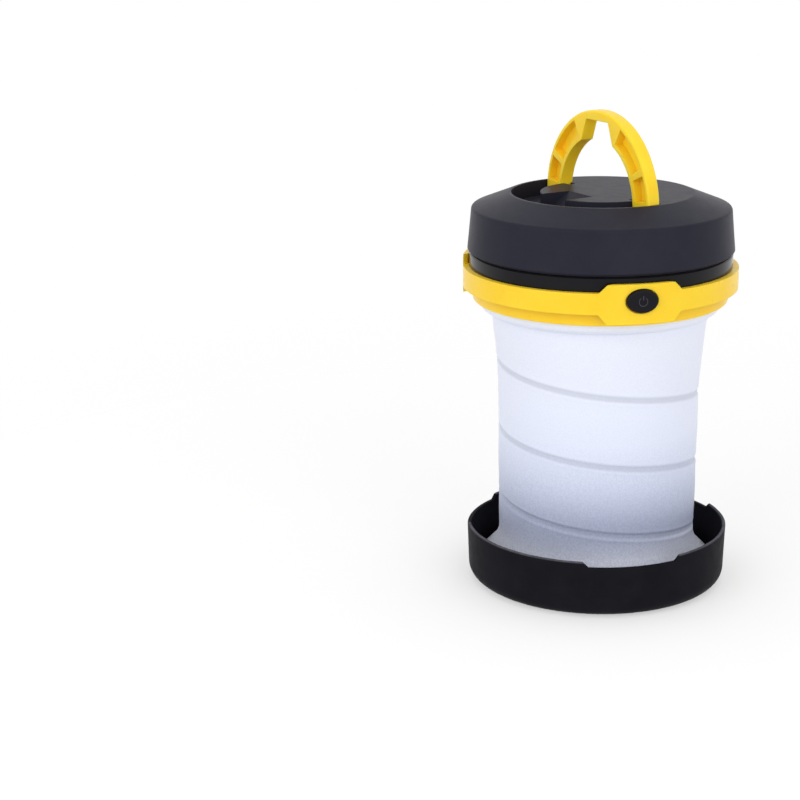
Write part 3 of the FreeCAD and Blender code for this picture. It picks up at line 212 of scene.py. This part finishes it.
shade_section = list(COLLAR_PROFILE)
for step in range(1, NECK_STEPS + 1):
    share = 1 - step / NECK_STEPS
    shade_section.append((BEND_RADIUS + neck_gain(share), WALL_BEND + (WALL_TOP - WALL_BEND) * share))
shade_section.append((WAIST_RADIUS, WALL_FOOT))
for step in range(1, FLARE_STEPS + 1):
    angle = FLARE_ANGLE * step / FLARE_STEPS
    shade_section.append((WAIST_RADIUS + FLARE_ROUND * (1 - math.cos(angle)),
                          WALL_FOOT - FLARE_ROUND * math.sin(angle)))
outside_count = len(shade_section)
shade_section += INSIDE_PROFILE
shade_mesh = bmesh.new()
corners = [shade_mesh.verts.new((radius * MM, 0, height * MM)) for radius, height in shade_section]
sides = [shade_mesh.edges.new(pair) for pair in zip(corners, corners[1:] + corners[:1])]
for side in sides[len(COLLAR_PROFILE) - 1:outside_count - 1]:
    rows = max(1, round(side.calc_length() / ROW_HEIGHT))
    bmesh.ops.subdivide_edges(shade_mesh, edges=[side], cuts=rows - 1)
inner_wall = sides[outside_count + INSIDE_PROFILE.index(INNER_WALL_FOOT)]
bmesh.ops.subdivide_edges(shade_mesh, edges=[inner_wall], cuts=INNER_CUTS)
bmesh.ops.spin(
    shade_mesh, geom=shade_mesh.verts[:] + shade_mesh.edges[:], cent=(0, 0, 0), axis=(0, 0, 1),
    dvec=(0, 0, 0), angle=math.tau, steps=SPIN_STEPS, use_merge=True)
bmesh.ops.remove_doubles(shade_mesh, verts=shade_mesh.verts, dist=SAME_PLACE)
bmesh.ops.recalc_face_normals(shade_mesh, faces=shade_mesh.faces)

FOLD_START, FOLD_FALL, FOLD_TURNS, FOLD_TURN_START = 88.0, 22.8, 3.04, 134.7
FOLD_HALF, FOLD_DEPTH, FOLD_FLATNESS, FOLD_RUN_OUT = 0.95, 0.36, 6, 0.06
FOLD_LIP, LIP_PLACE, LIP_WIDTH = 0.1, 1.7, 0.5
PANEL_BULGE, PANEL_FADE, WALL_SLACK, RIM_SLACK = 0.16, 6, 0.25, 0.05
# Each vertex keeps its share of fold line, for the painted shade in the groove.
fold_shade_share = shade_mesh.verts.layers.float.new("fold")


def fold_offset(turn_angle, height):
    """How far the wall stands out at a place, with the soft panels, and how much of it is fold line."""
    turn = (turn_angle - FOLD_TURN_START) / 360
    nearest = turn + round((FOLD_START - height) / FOLD_FALL - turn)
    off_line = height - (FOLD_START - FOLD_FALL * nearest)
    begun = min(max(nearest / FOLD_RUN_OUT, 0), 1)
    left = min(max((FOLD_TURNS - nearest) / FOLD_RUN_OUT, 0), 1)
    line = begun * left / (1 + (off_line / FOLD_HALF) ** FOLD_FLATNESS)
    off_lip = (abs(off_line) - FOLD_HALF * LIP_PLACE) / LIP_WIDTH
    lips = FOLD_LIP * begun * left * math.exp(-off_lip ** 2)
    bulge = PANEL_BULGE * (1 - math.cos(math.tau * off_line / FOLD_FALL)) / 2
    below_top = min(max((WALL_TOP - height) / PANEL_FADE, 0), 1)
    above_foot = min(max((height - WALL_FOOT) / PANEL_FADE, 0), 1)
    return lips + bulge * below_top * above_foot - FOLD_DEPTH * line, line


def on_wall(vertex):
    """Whether a vertex is on the outside of the wall, between flare and collar."""
    height = vertex.co.z / MM
    radius = vertex.co.xy.length / MM
    share = max((height - WALL_BEND) / (WALL_TOP - WALL_BEND), 0)
    outside = radius > WAIST_RADIUS + neck_gain(share) - WALL_SLACK
    return outside and WALL_FOOT <= height < WALL_TOP - RIM_SLACK


for vertex in shade_mesh.verts:
    if on_wall(vertex):
        turn_angle = math.degrees(math.atan2(vertex.co.x, -vertex.co.y))
        out, vertex[fold_shade_share] = fold_offset(turn_angle, vertex.co.z / MM)
        vertex.co.xy += vertex.co.xy.normalized() * out * MM


def new_piece(name, mesh, finish, body, replaced=()):
    """Make a finished mesh an object that rides on a body."""
    data = bpy.data.meshes.new(name)
    mesh.to_mesh(data)
    mesh.free()
    for face in data.polygons:
        face.use_smooth = True
    data.materials.append(finish)
    piece = bpy.data.objects.new(name, data)
    bpy.context.scene.collection.objects.link(piece)
    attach(piece, body)
    if replaced:
        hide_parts(*replaced)
    return piece


shade_finish, tree, shader, place = finish_with_shader("shade_silicone")
ramp = tree.nodes.new("ShaderNodeValToRGB")
ramp.color_ramp.interpolation = "B_SPLINE"
# Painted shade and highlight by height: the tone falls to a grey band low on the wall, where the cup
# shades it and the dark foot shows through, and pales again on the flare as a painted highlight.
SHADE_PAINTED_LIGHT_TONES = (
    (0.0, (0.92, 0.94, 1.0)), (0.13, (0.80, 0.84, 1.0)), (0.205, (0.27, 0.30, 0.43)),
    (0.30, (0.46, 0.50, 0.65)), (0.40, (0.62, 0.66, 0.82)), (0.54, (0.77, 0.81, 0.96)),
    (1.0, (0.83, 0.86, 0.98)),
)
for number, (stop, tone) in enumerate(SHADE_PAINTED_LIGHT_TONES):
    elements = ramp.color_ramp.elements
    element = elements[number] if number in (0, 1) else elements.new(stop)
    element.position = stop
    element.color = (*tone, 1)
tree.links.new(spread(tree, height_in(tree, place), (0.003, 0.098), (0, 1)), ramp.inputs["Fac"])
speckle = spread(tree, noise_on(tree, place, scale=1700, detail=2), (0.4, 0.6), (0, 1))
# Painted shade: the speckle is darker towards the bottom, where the dark foot shows through.
low_down = spread(tree, height_in(tree, place), (0.02, 0.055), (0.86, 0.97))


def darken(tree, colour, share, tone):
    """Multiply a colour by a grey tone, by the share at each place."""
    mix = tree.nodes.new("ShaderNodeMix")
    mix.data_type = "RGBA"
    mix.blend_type = "MULTIPLY"
    grey = tree.nodes.new("ShaderNodeCombineColor")
    for socket in grey.inputs:
        tree.links.new(tone, socket)
    tree.links.new(share, mix.inputs[0])
    tree.links.new(colour, mix.inputs[6])
    tree.links.new(grey.outputs["Color"], mix.inputs[7])
    return mix.outputs[2]


# Painted shade in the spiral fold groove: a grey line, darker high on the wall and fainter low down.
fold_shade_attribute = tree.nodes.new("ShaderNodeAttribute")
fold_shade_attribute.attribute_name = "fold"
fold_shade_tone = spread(tree, height_in(tree, place), (0.026, 0.045), (0.94, 0.8))
flecked = darken(tree, ramp.outputs["Color"], speckle, low_down)
tree.links.new(darken(tree, flecked, fold_shade_attribute.outputs["Fac"], fold_shade_tone), shader.inputs["Base Color"])
uneven_gloss = spread(tree, noise_on(tree, place, scale=300, detail=4), (0.3, 0.7), (0.38, 0.5))
tree.links.new(uneven_gloss, shader.inputs["Roughness"])
shader.inputs["Specular IOR Level"].default_value = 0.3
shader.inputs["Subsurface Weight"].default_value = 0.15
shader.inputs["Subsurface Radius"].default_value = (1.0, 1.0, 1.0)
shader.inputs["Subsurface Scale"].default_value = 0.0015
raise_surface(tree, shader, noise_on(tree, place, scale=1700, detail=2), strength=0.18, depth=0.00006)
shade = new_piece("frosted_shade", shade_mesh, shade_finish, "head", ["shade"])
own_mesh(shade)

# Shade clamp and its screws: a white polypropylene ring that presses window and cuff on the floor,
# held by four zinc-plated cross-head screws from below. The reflector is the same white plastic.
white_finish = moulded_plastic(
    "white_polypropylene", colour=(0.76, 0.77, 0.78), pale=(0.82, 0.83, 0.84),
    gloss=(0.3, 0.42), grain=(1400, 0.12, 0.00005), specular=0.4)
dress(white_finish, "shade_clamp", "reflector")
screw_finish, tree, shader, place = finish_with_shader("zinc_plated_steel")
shader.inputs["Metallic"].default_value = 1.0
haze = spread(tree, noise_on(tree, place, scale=700, detail=5, rough=0.65), (0.3, 0.7), (0, 1))
plated = colour_between(tree, haze, (0.50, 0.51, 0.53), (0.68, 0.69, 0.70))
tree.links.new(plated, shader.inputs["Base Color"])
tree.links.new(spread(tree, haze, (0, 1), (0.24, 0.42)), shader.inputs["Roughness"])
raise_surface(tree, shader, noise_on(tree, place, scale=2200), strength=0.1, depth=0.00004)
dress(screw_finish, "head_screws", "led_screws")


SCREW_COUNT, SCREW_CIRCLE, SCREW_LEVEL = 4, 25.0, 0.1
FIRST_SCREW, FIRST_CROSS, CROSS_STEP = 27, 12, 35
FACE_RADIUS, EDGE_RADIUS, HEAD_RADIUS, SHANK_RADIUS = 1.85, 2.1, 2.2, 1.25
FACE_ROUND, EDGE_ROUND, HEAD_WALL, SHANK_LENGTH = 0.12, 0.3, 0.98, 2.85
CROSS_ARM, CROSS_HALF, CROSS_TAPER, CROSS_DEPTH = 1.15, 0.27, 0.62, 0.95
SHARP_ANGLE = math.radians(35)


def draw_on(mesh, loop, scale, rise):
    """Pull a loop of edges on to a new size and height, and return the new loop."""
    pulled = bmesh.ops.extrude_edge_only(mesh, edges=loop)["geom"]
    ends = [part for part in pulled if isinstance(part, bmesh.types.BMVert)]
    edges = [part for part in pulled if isinstance(part, bmesh.types.BMEdge)]
    bmesh.ops.scale(mesh, vec=(scale, scale, 1), verts=ends)
    bmesh.ops.translate(mesh, vec=(0, 0, rise * MM), verts=ends)
    return [edge for edge in edges if all(vert in ends for vert in edge.verts)]


def cross_head_screw():
    """A pan-head screw with a cross recess, its driving face at z = 0 and its shank along +Z."""
    mesh = bmesh.new()
    face_edge = bmesh.ops.create_circle(mesh, segments=40, radius=FACE_RADIUS * MM)["verts"]
    rim = list({edge for vert in face_edge for edge in vert.link_edges})
    arm, half = CROSS_ARM * MM, CROSS_HALF * MM
    cross = [
        (arm, -half), (arm, half), (half, half), (half, arm), (-half, arm), (-half, half),
        (-arm, half), (-arm, -half), (-half, -half), (-half, -arm), (half, -arm), (half, -half),
    ]
    corners = [mesh.verts.new((across, along, 0)) for across, along in cross]
    recess = [mesh.edges.new(pair) for pair in zip(corners, corners[1:] + corners[:1])]
    bmesh.ops.bridge_loops(mesh, edges=rim + recess)
    recess_floor = draw_on(mesh, recess, CROSS_TAPER, CROSS_DEPTH)
    bmesh.ops.contextual_create(mesh, geom=recess_floor)
    loop = draw_on(mesh, rim, EDGE_RADIUS / FACE_RADIUS, FACE_ROUND)
    loop = draw_on(mesh, loop, HEAD_RADIUS / EDGE_RADIUS, EDGE_ROUND)
    loop = draw_on(mesh, loop, 1.0, HEAD_WALL)
    loop = draw_on(mesh, loop, SHANK_RADIUS / HEAD_RADIUS, 0.0)
    loop = draw_on(mesh, loop, 1.0, SHANK_LENGTH)
    bmesh.ops.contextual_create(mesh, geom=loop)
    bmesh.ops.recalc_face_normals(mesh, faces=mesh.faces)
    return mesh


foot_screws = bmesh.new()
for number in range(SCREW_COUNT):
    one_screw = cross_head_screw()
    way = math.radians(FIRST_SCREW + 360 / SCREW_COUNT * number)
    seat = Vector((SCREW_CIRCLE * math.cos(way), SCREW_CIRCLE * math.sin(way), SCREW_LEVEL)) * MM
    turn_own = Matrix.Rotation(math.radians(FIRST_CROSS + CROSS_STEP * number), 4, "Z")
    one_screw.transform(Matrix.Translation(seat) @ turn_own)
    passing = bpy.data.meshes.new("passing")
    one_screw.to_mesh(passing)
    one_screw.free()
    foot_screws.from_mesh(passing)
    bpy.data.meshes.remove(passing)
screw_piece = new_piece("foot_screws", foot_screws, screw_finish, "base", ["clamp_screws"])
screw_piece.data.set_sharp_from_angle(angle=SHARP_ANGLE)

# Lip ring and band: bright yellow ABS with a satin gloss. The band with its three tabs is snapped over
# the lip ring, and screws from below hold both to the head.
def yellow_plastic(name, colour, pale):
    """Satin yellow plastic that lets some light in and gives it back warmer."""
    finish = moulded_plastic(
        name, colour, pale, gloss=(0.26, 0.36), grain=(1900, 0.1, 0.00004), specular=0.25, edge=0.0003)
    shader = finish.node_tree.nodes["Principled BSDF"]
    shader.inputs["Subsurface Weight"].default_value = 0.4
    shader.inputs["Subsurface Radius"].default_value = (1.0, 0.6, 0.12)
    shader.inputs["Subsurface Scale"].default_value = 0.0025
    return finish


band_finish = yellow_plastic("band_plastic", colour=(0.98, 0.615, 0.02), pale=(1.0, 0.65, 0.03))
dress(band_finish, "shade_ring", "trim_band")

# Push button: an oval of soft black plastic that stands in the band's hole and springs back. A
# ring-and-bar sign is moulded on its face, a little paler and shinier than the rest.
button_finish = moulded_plastic(
    "button_plastic", colour=(0.007, 0.0068, 0.0095), pale=(0.0095, 0.0092, 0.0125),
    gloss=(0.34, 0.46), grain=(2400, 0.2, 0.00005), specular=0.1)
dress(button_finish, "button")
mark_mesh = bmesh.new()
MARK_RADIUS, MARK_LINE, MARK_SINK, MARK_RISE, MARK_TAPER = 1.35, 0.17, -0.1, 0.1, 0.7
MARK_GAP, MARK_STEPS, BAR_LENGTH, BAR_MIDDLE = math.radians(70), 48, 1.3, 1.15
BUTTON_TURN, BUTTON_FRONT, BUTTON_HEIGHT = math.radians(72), 45.45, 103.85
section_corners = (
    (-1, MARK_SINK), (1, MARK_SINK), (MARK_TAPER, MARK_RISE), (-MARK_TAPER, MARK_RISE),
)
ring_section = [
    mark_mesh.verts.new(((MARK_RADIUS + side * MARK_LINE) * MM, 0, level * MM))
    for side, level in section_corners
]
ring_face = mark_mesh.faces.new(ring_section)
ring_start = Matrix.Rotation(math.radians(90) + MARK_GAP / 2, 3, "Z")
bmesh.ops.rotate(mark_mesh, verts=ring_section, cent=(0, 0, 0), matrix=ring_start)
bmesh.ops.spin(
    mark_mesh, geom=[ring_face] + ring_face.edges[:] + ring_section, cent=(0, 0, 0), axis=(0, 0, 1),
    dvec=(0, 0, 0), angle=math.tau - MARK_GAP, steps=MARK_STEPS)
bar = bmesh.ops.create_cube(mark_mesh, size=MM)["verts"]
bmesh.ops.scale(mark_mesh, vec=(MARK_LINE * 2, BAR_LENGTH, MARK_RISE - MARK_SINK), verts=bar)
bmesh.ops.translate(mark_mesh, vec=(0, BAR_MIDDLE * MM, 0), verts=bar)
bmesh.ops.recalc_face_normals(mark_mesh, faces=mark_mesh.faces)
outward = Vector((math.sin(BUTTON_TURN), -math.cos(BUTTON_TURN), 0))
along_band = Vector((math.cos(BUTTON_TURN), math.sin(BUTTON_TURN), 0))
button_front = (outward * BUTTON_FRONT + Vector((0, 0, BUTTON_HEIGHT))) * MM
mark_place = Matrix((along_band, Vector((0, 0, 1)), outward)).transposed().to_4x4()
mark_mesh.transform(Matrix.Translation(button_front) @ mark_place)
mark_finish = moulded_plastic(
    "button_mark", colour=(0.03, 0.03, 0.036), pale=(0.042, 0.042, 0.05),
    gloss=(0.25, 0.35), grain=(2400, 0.1, 0.00004), specular=0.3)
mark_piece = new_piece("button_mark", mark_mesh, mark_finish, "button")
mark_piece.data.set_sharp_from_angle(angle=SHARP_ANGLE)

# Switch behind the button: a black moulded case with a plunger, soldered on a small board of green
# varnished glass fibre that stands in the head's wall.
dress(button_finish, "tact_switch")
board_finish = moulded_plastic(
    "green_circuit_board", colour=(0.008, 0.085, 0.035), pale=(0.014, 0.12, 0.05),
    gloss=(0.2, 0.34), grain=(900, 0.15, 0.00006), specular=0.5)
dress(board_finish, "switch_board")

# Head housing: glossy black ABS, moulded in one with neck, deck, spigot and cell cradle. Lip ring and
# band are screwed on from below, and the cap goes over its spigot.
neck_finish = moulded_plastic(
    "neck_plastic", colour=(0.006, 0.006, 0.008), pale=(0.0075, 0.0075, 0.0095),
    gloss=(0.05, 0.1), grain=(500, 0.03, 0.00005), specular=0.14)
dress(neck_finish, "head_housing")

# Lamp: one white light-emitting diode with a yellow phosphor face, soldered on an aluminium-backed
# board in white varnish, which two screws hold to the deck above the reflector.
lamp_board_finish = moulded_plastic(
    "white_lamp_board", colour=(0.72, 0.73, 0.72), pale=(0.8, 0.8, 0.79),
    gloss=(0.22, 0.35), grain=(900, 0.1, 0.00005), specular=0.5)
dress(lamp_board_finish, "led_board")
lens_finish = moulded_plastic(
    "lamp_lens", colour=(0.9, 0.72, 0.16), pale=(0.95, 0.8, 0.25),
    gloss=(0.08, 0.14), grain=(800, 0.04, 0.00004), specular=0.5)
dress(lens_finish, "led_emitter")

# Cells and contacts: steel cans in plain two-colour sleeves, each second one turned end for end, and
# nickel-plated spring strips.
CELL_HALF_LENGTH, SCUFF = 0.026, 0.12
CAN_STEEL, BUTTON_STEEL = (0.55, 0.56, 0.58), (0.6, 0.61, 0.62)
SLEEVE_GREEN, SLEEVE_PALE, SLEEVE_SCUFFED = (0.06, 0.105, 0.09), (0.55, 0.57, 0.55), (0.3, 0.3, 0.31)
CELL_BANDS = (
    (0.0, CAN_STEEL, 1), (0.035, SLEEVE_GREEN, 0), (0.74, SLEEVE_PALE, 0), (0.955, SLEEVE_GREEN, 0),
    (0.975, BUTTON_STEEL, 1),
)


def cell_sleeve(name, way):
    """A grey-green sleeve with a pale band towards the button end, and bare steel at both ends."""
    finish, tree, shader, place = finish_with_shader(name)
    lying = tree.nodes.new("ShaderNodeMapping")
    lying.inputs["Rotation"].default_value = (0, 0, -BUTTON_TURN)
    tree.links.new(place, lying.inputs["Vector"])
    split = tree.nodes.new("ShaderNodeSeparateXYZ")
    tree.links.new(lying.outputs["Vector"], split.inputs["Vector"])
    along = spread(tree, split.outputs["X"], (-CELL_HALF_LENGTH * way, CELL_HALF_LENGTH * way), (0, 1))
    tones = tree.nodes.new("ShaderNodeValToRGB")
    tones.color_ramp.interpolation = "CONSTANT"
    steel = tree.nodes.new("ShaderNodeValToRGB")
    steel.color_ramp.interpolation = "CONSTANT"
    for number, (stop, tone, metal) in enumerate(CELL_BANDS):
        for ramp, colour in ((tones, tone), (steel, (metal,) * 3)):
            elements = ramp.color_ramp.elements
            element = elements[number] if number in (0, 1) else elements.new(stop)
            element.position = stop
            element.color = (*colour, 1)
    for ramp in (tones, steel):
        tree.links.new(along, ramp.inputs["Fac"])
    scuff = spread(tree, noise_on(tree, place, scale=400, detail=5, rough=0.7), (0.35, 0.75), (0, SCUFF))
    worn = colour_between(tree, scuff, tones.outputs["Color"], SLEEVE_SCUFFED)
    tree.links.new(worn, shader.inputs["Base Color"])
    tree.links.new(steel.outputs["Color"], shader.inputs["Metallic"])
    tree.links.new(spread(tree, scuff, (0, SCUFF), (0.2, 0.4)), shader.inputs["Roughness"])
    raise_surface(tree, shader, noise_on(tree, place, scale=900), strength=0.05, depth=0.00005)
    return finish


forward_sleeve = cell_sleeve("cell_sleeve_forward", 1)
dress(forward_sleeve, "battery_cell_1", "battery_cell_3")
dress(cell_sleeve("cell_sleeve_back", -1), "battery_cell_2")
dress(screw_finish, "contact_plates", "contact_springs")

# Wires: tinned strand in soft vinyl, red and black, soldered to the cells' contacts, the lamp board
# and the switch.
red_finish = moulded_plastic(
    "red_vinyl", colour=(0.5, 0.012, 0.01), pale=(0.58, 0.02, 0.015),
    gloss=(0.35, 0.5), grain=(1500, 0.1, 0.00005), specular=0.4)
dress(red_finish, "lead_red")
dress(button_finish, "lead_black", "switch_leads")

# Battery cap: dark blue-grey ABS with a fine satin grain, moulded with the handle's recess and screwed
# down over the spigot on its gasket.
cap_finish = moulded_plastic(
    "cap_plastic", colour=(0.0205, 0.0205, 0.032), pale=(0.0235, 0.0235, 0.036),
    gloss=(0.37, 0.42), grain=(2600, 0.2, 0.00005), specular=0.06, edge=0.0004)
dress(cap_finish, "top_cap")

# Handle: the same yellow ABS, given a lighter copy of the band's yellow as painted light, a half ring
# moulded hollow on one side. Its stub pins snap into the cap's slots. The finger notch is cut wider than
# in the CAD solid.
handle_painted_light_finish = yellow_plastic("handle_plastic", colour=(1.0, 0.66, 0.02), pale=(1.0, 0.695, 0.03))
NOTCH_FLAT, NOTCH_MOUTH, NOTCH_TOP, NOTCH_FOOT = 6.0, 8.6, 152.9, 145.8
TOOL_OVERRUN, TOOL_REACH = 4.0, 10.0
mouth_flare = (NOTCH_MOUTH - NOTCH_FLAT) / (NOTCH_TOP - NOTCH_FOOT)
tool_foot = NOTCH_FOOT - TOOL_OVERRUN
tool_wide = NOTCH_FLAT + (NOTCH_TOP - tool_foot) * mouth_flare
notch_outline = (
    (-NOTCH_FLAT, NOTCH_TOP), (NOTCH_FLAT, NOTCH_TOP), (tool_wide, tool_foot), (-tool_wide, tool_foot),
)
notch_mesh = bmesh.new()
notch_corners = [
    notch_mesh.verts.new((across * MM, -TOOL_REACH * MM, height * MM)) for across, height in notch_outline
]
notch_end = notch_mesh.faces.new(notch_corners)
pulled = bmesh.ops.extrude_face_region(notch_mesh, geom=[notch_end], use_keep_orig=True)["geom"]
pulled_corners = [part for part in pulled if isinstance(part, bmesh.types.BMVert)]
bmesh.ops.translate(notch_mesh, vec=(0, 2 * TOOL_REACH * MM, 0), verts=pulled_corners)
bmesh.ops.recalc_face_normals(notch_mesh, faces=notch_mesh.faces)
notch_data = bpy.data.meshes.new("finger_notch")
notch_mesh.to_mesh(notch_data)
notch_mesh.free()
notch_tool = bpy.data.objects.new("finger_notch", notch_data)
bpy.context.scene.collection.objects.link(notch_tool)
handle_mesh = bmesh.new()
handle_mesh.from_mesh(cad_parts["handle"].data)
bmesh.ops.remove_doubles(handle_mesh, verts=handle_mesh.verts, dist=SAME_PLACE)
handle_piece = new_piece("grip_handle", handle_mesh, handle_painted_light_finish, "handle", ["handle"])
old_normals = handle_piece.data.attributes.get("custom_normal")
if old_normals:
    handle_piece.data.attributes.remove(old_normals)
notching = handle_piece.modifiers.new("finger_notch", "BOOLEAN")
notching.operation = "DIFFERENCE"
notching.solver = "EXACT"
notching.object = notch_tool
notched = handle_piece.evaluated_get(bpy.context.evaluated_depsgraph_get())
handle_piece.data = bpy.data.meshes.new_from_object(notched)
handle_piece.modifiers.clear()
bpy.data.objects.remove(notch_tool)
handle_piece.data.set_sharp_from_angle(angle=SHARP_ANGLE)

# Floor and light: a white round table that fades out into the white, two large soft lamps on the
# camera's side and a weak one above. Other rays pass the table, so the foot's underside gets light.
FLOOR_RADIUS, FLOOR_LEVEL, FLOOR_FADE, FLOOR_SHARE = 1.2, -0.0002, (0.12, 0.42), 0.55
LAMP_AIM = Vector((0, 0, 0.07))
FILL_LIGHT, WHITE_BACKGROUND = 0.85, 1.0
floor_mesh = bmesh.new()
bmesh.ops.create_circle(floor_mesh, cap_ends=True, segments=96, radius=FLOOR_RADIUS)
floor_data = bpy.data.meshes.new("floor")
floor_mesh.to_mesh(floor_data)
floor_mesh.free()
floor = bpy.data.objects.new("floor", floor_data)
bpy.context.scene.collection.objects.link(floor)
floor.location.z = FLOOR_LEVEL
floor.visible_diffuse = False
floor.visible_glossy = False
floor_finish, tree, shader, place = finish_with_shader("pale_floor")
shader.inputs["Base Color"].default_value = (1.0, 1.0, 1.0, 1)
shader.inputs["Roughness"].default_value = 0.9
shader.inputs["Specular IOR Level"].default_value = 0.0
distance = tree.nodes.new("ShaderNodeVectorMath")
distance.operation = "LENGTH"
tree.links.new(place, distance.inputs[0])
fade = spread(tree, distance.outputs["Value"], FLOOR_FADE, (FLOOR_SHARE, 0))
side_seen = tree.nodes.new("ShaderNodeNewGeometry")
from_above = spread(tree, side_seen.outputs["Backfacing"], (0, 1), (1, 0))
shown = tree.nodes.new("ShaderNodeMath")
shown.operation = "MULTIPLY"
tree.links.new(fade, shown.inputs[0])
tree.links.new(from_above, shown.inputs[1])
tree.links.new(shown.outputs[0], shader.inputs["Alpha"])
floor_data.materials.append(floor_finish)


def soft_lamp(name, place, power, width):
    """A round area lamp that shines at the lantern."""
    lamp = bpy.data.lights.new(name, "AREA")
    lamp.shape = "DISK"
    lamp.size = width
    lamp.energy = power
    holder = bpy.data.objects.new(name, lamp)
    holder.location = place
    holder.rotation_mode = "QUATERNION"
    holder.rotation_quaternion = (LAMP_AIM - Vector(place)).to_track_quat("-Z", "Y")
    bpy.context.scene.collection.objects.link(holder)


soft_lamp("left_lamp", (0.35, -1.05, 0.55), power=2.7, width=0.9)
soft_lamp("right_lamp", (1.1, -0.1, 0.5), power=2.5, width=0.9)
soft_lamp("top_lamp", (-0.2, 0.2, 1.4), power=1.0, width=1.0)
world = bpy.data.worlds.new("studio")
world.use_nodes = True
bpy.context.scene.world = world
tree = world.node_tree
path = tree.nodes.new("ShaderNodeLightPath")
seen = tree.nodes.new("ShaderNodeMath")
seen.operation = "MAXIMUM"
tree.links.new(path.outputs["Is Camera Ray"], seen.inputs[0])
tree.links.new(path.outputs["Is Glossy Ray"], seen.inputs[1])
seen_through = tree.nodes.new("ShaderNodeMath")
seen_through.operation = "MAXIMUM"
tree.links.new(seen.outputs[0], seen_through.inputs[0])
tree.links.new(path.outputs["Is Transmission Ray"], seen_through.inputs[1])
background = tree.nodes["Background"]
background.inputs["Color"].default_value = (1, 1, 1, 1)
strength = spread(tree, seen_through.outputs[0], (0, 1), (FILL_LIGHT, WHITE_BACKGROUND))
tree.links.new(strength, background.inputs["Strength"])
bpy.context.scene.view_settings.view_transform = "Standard"
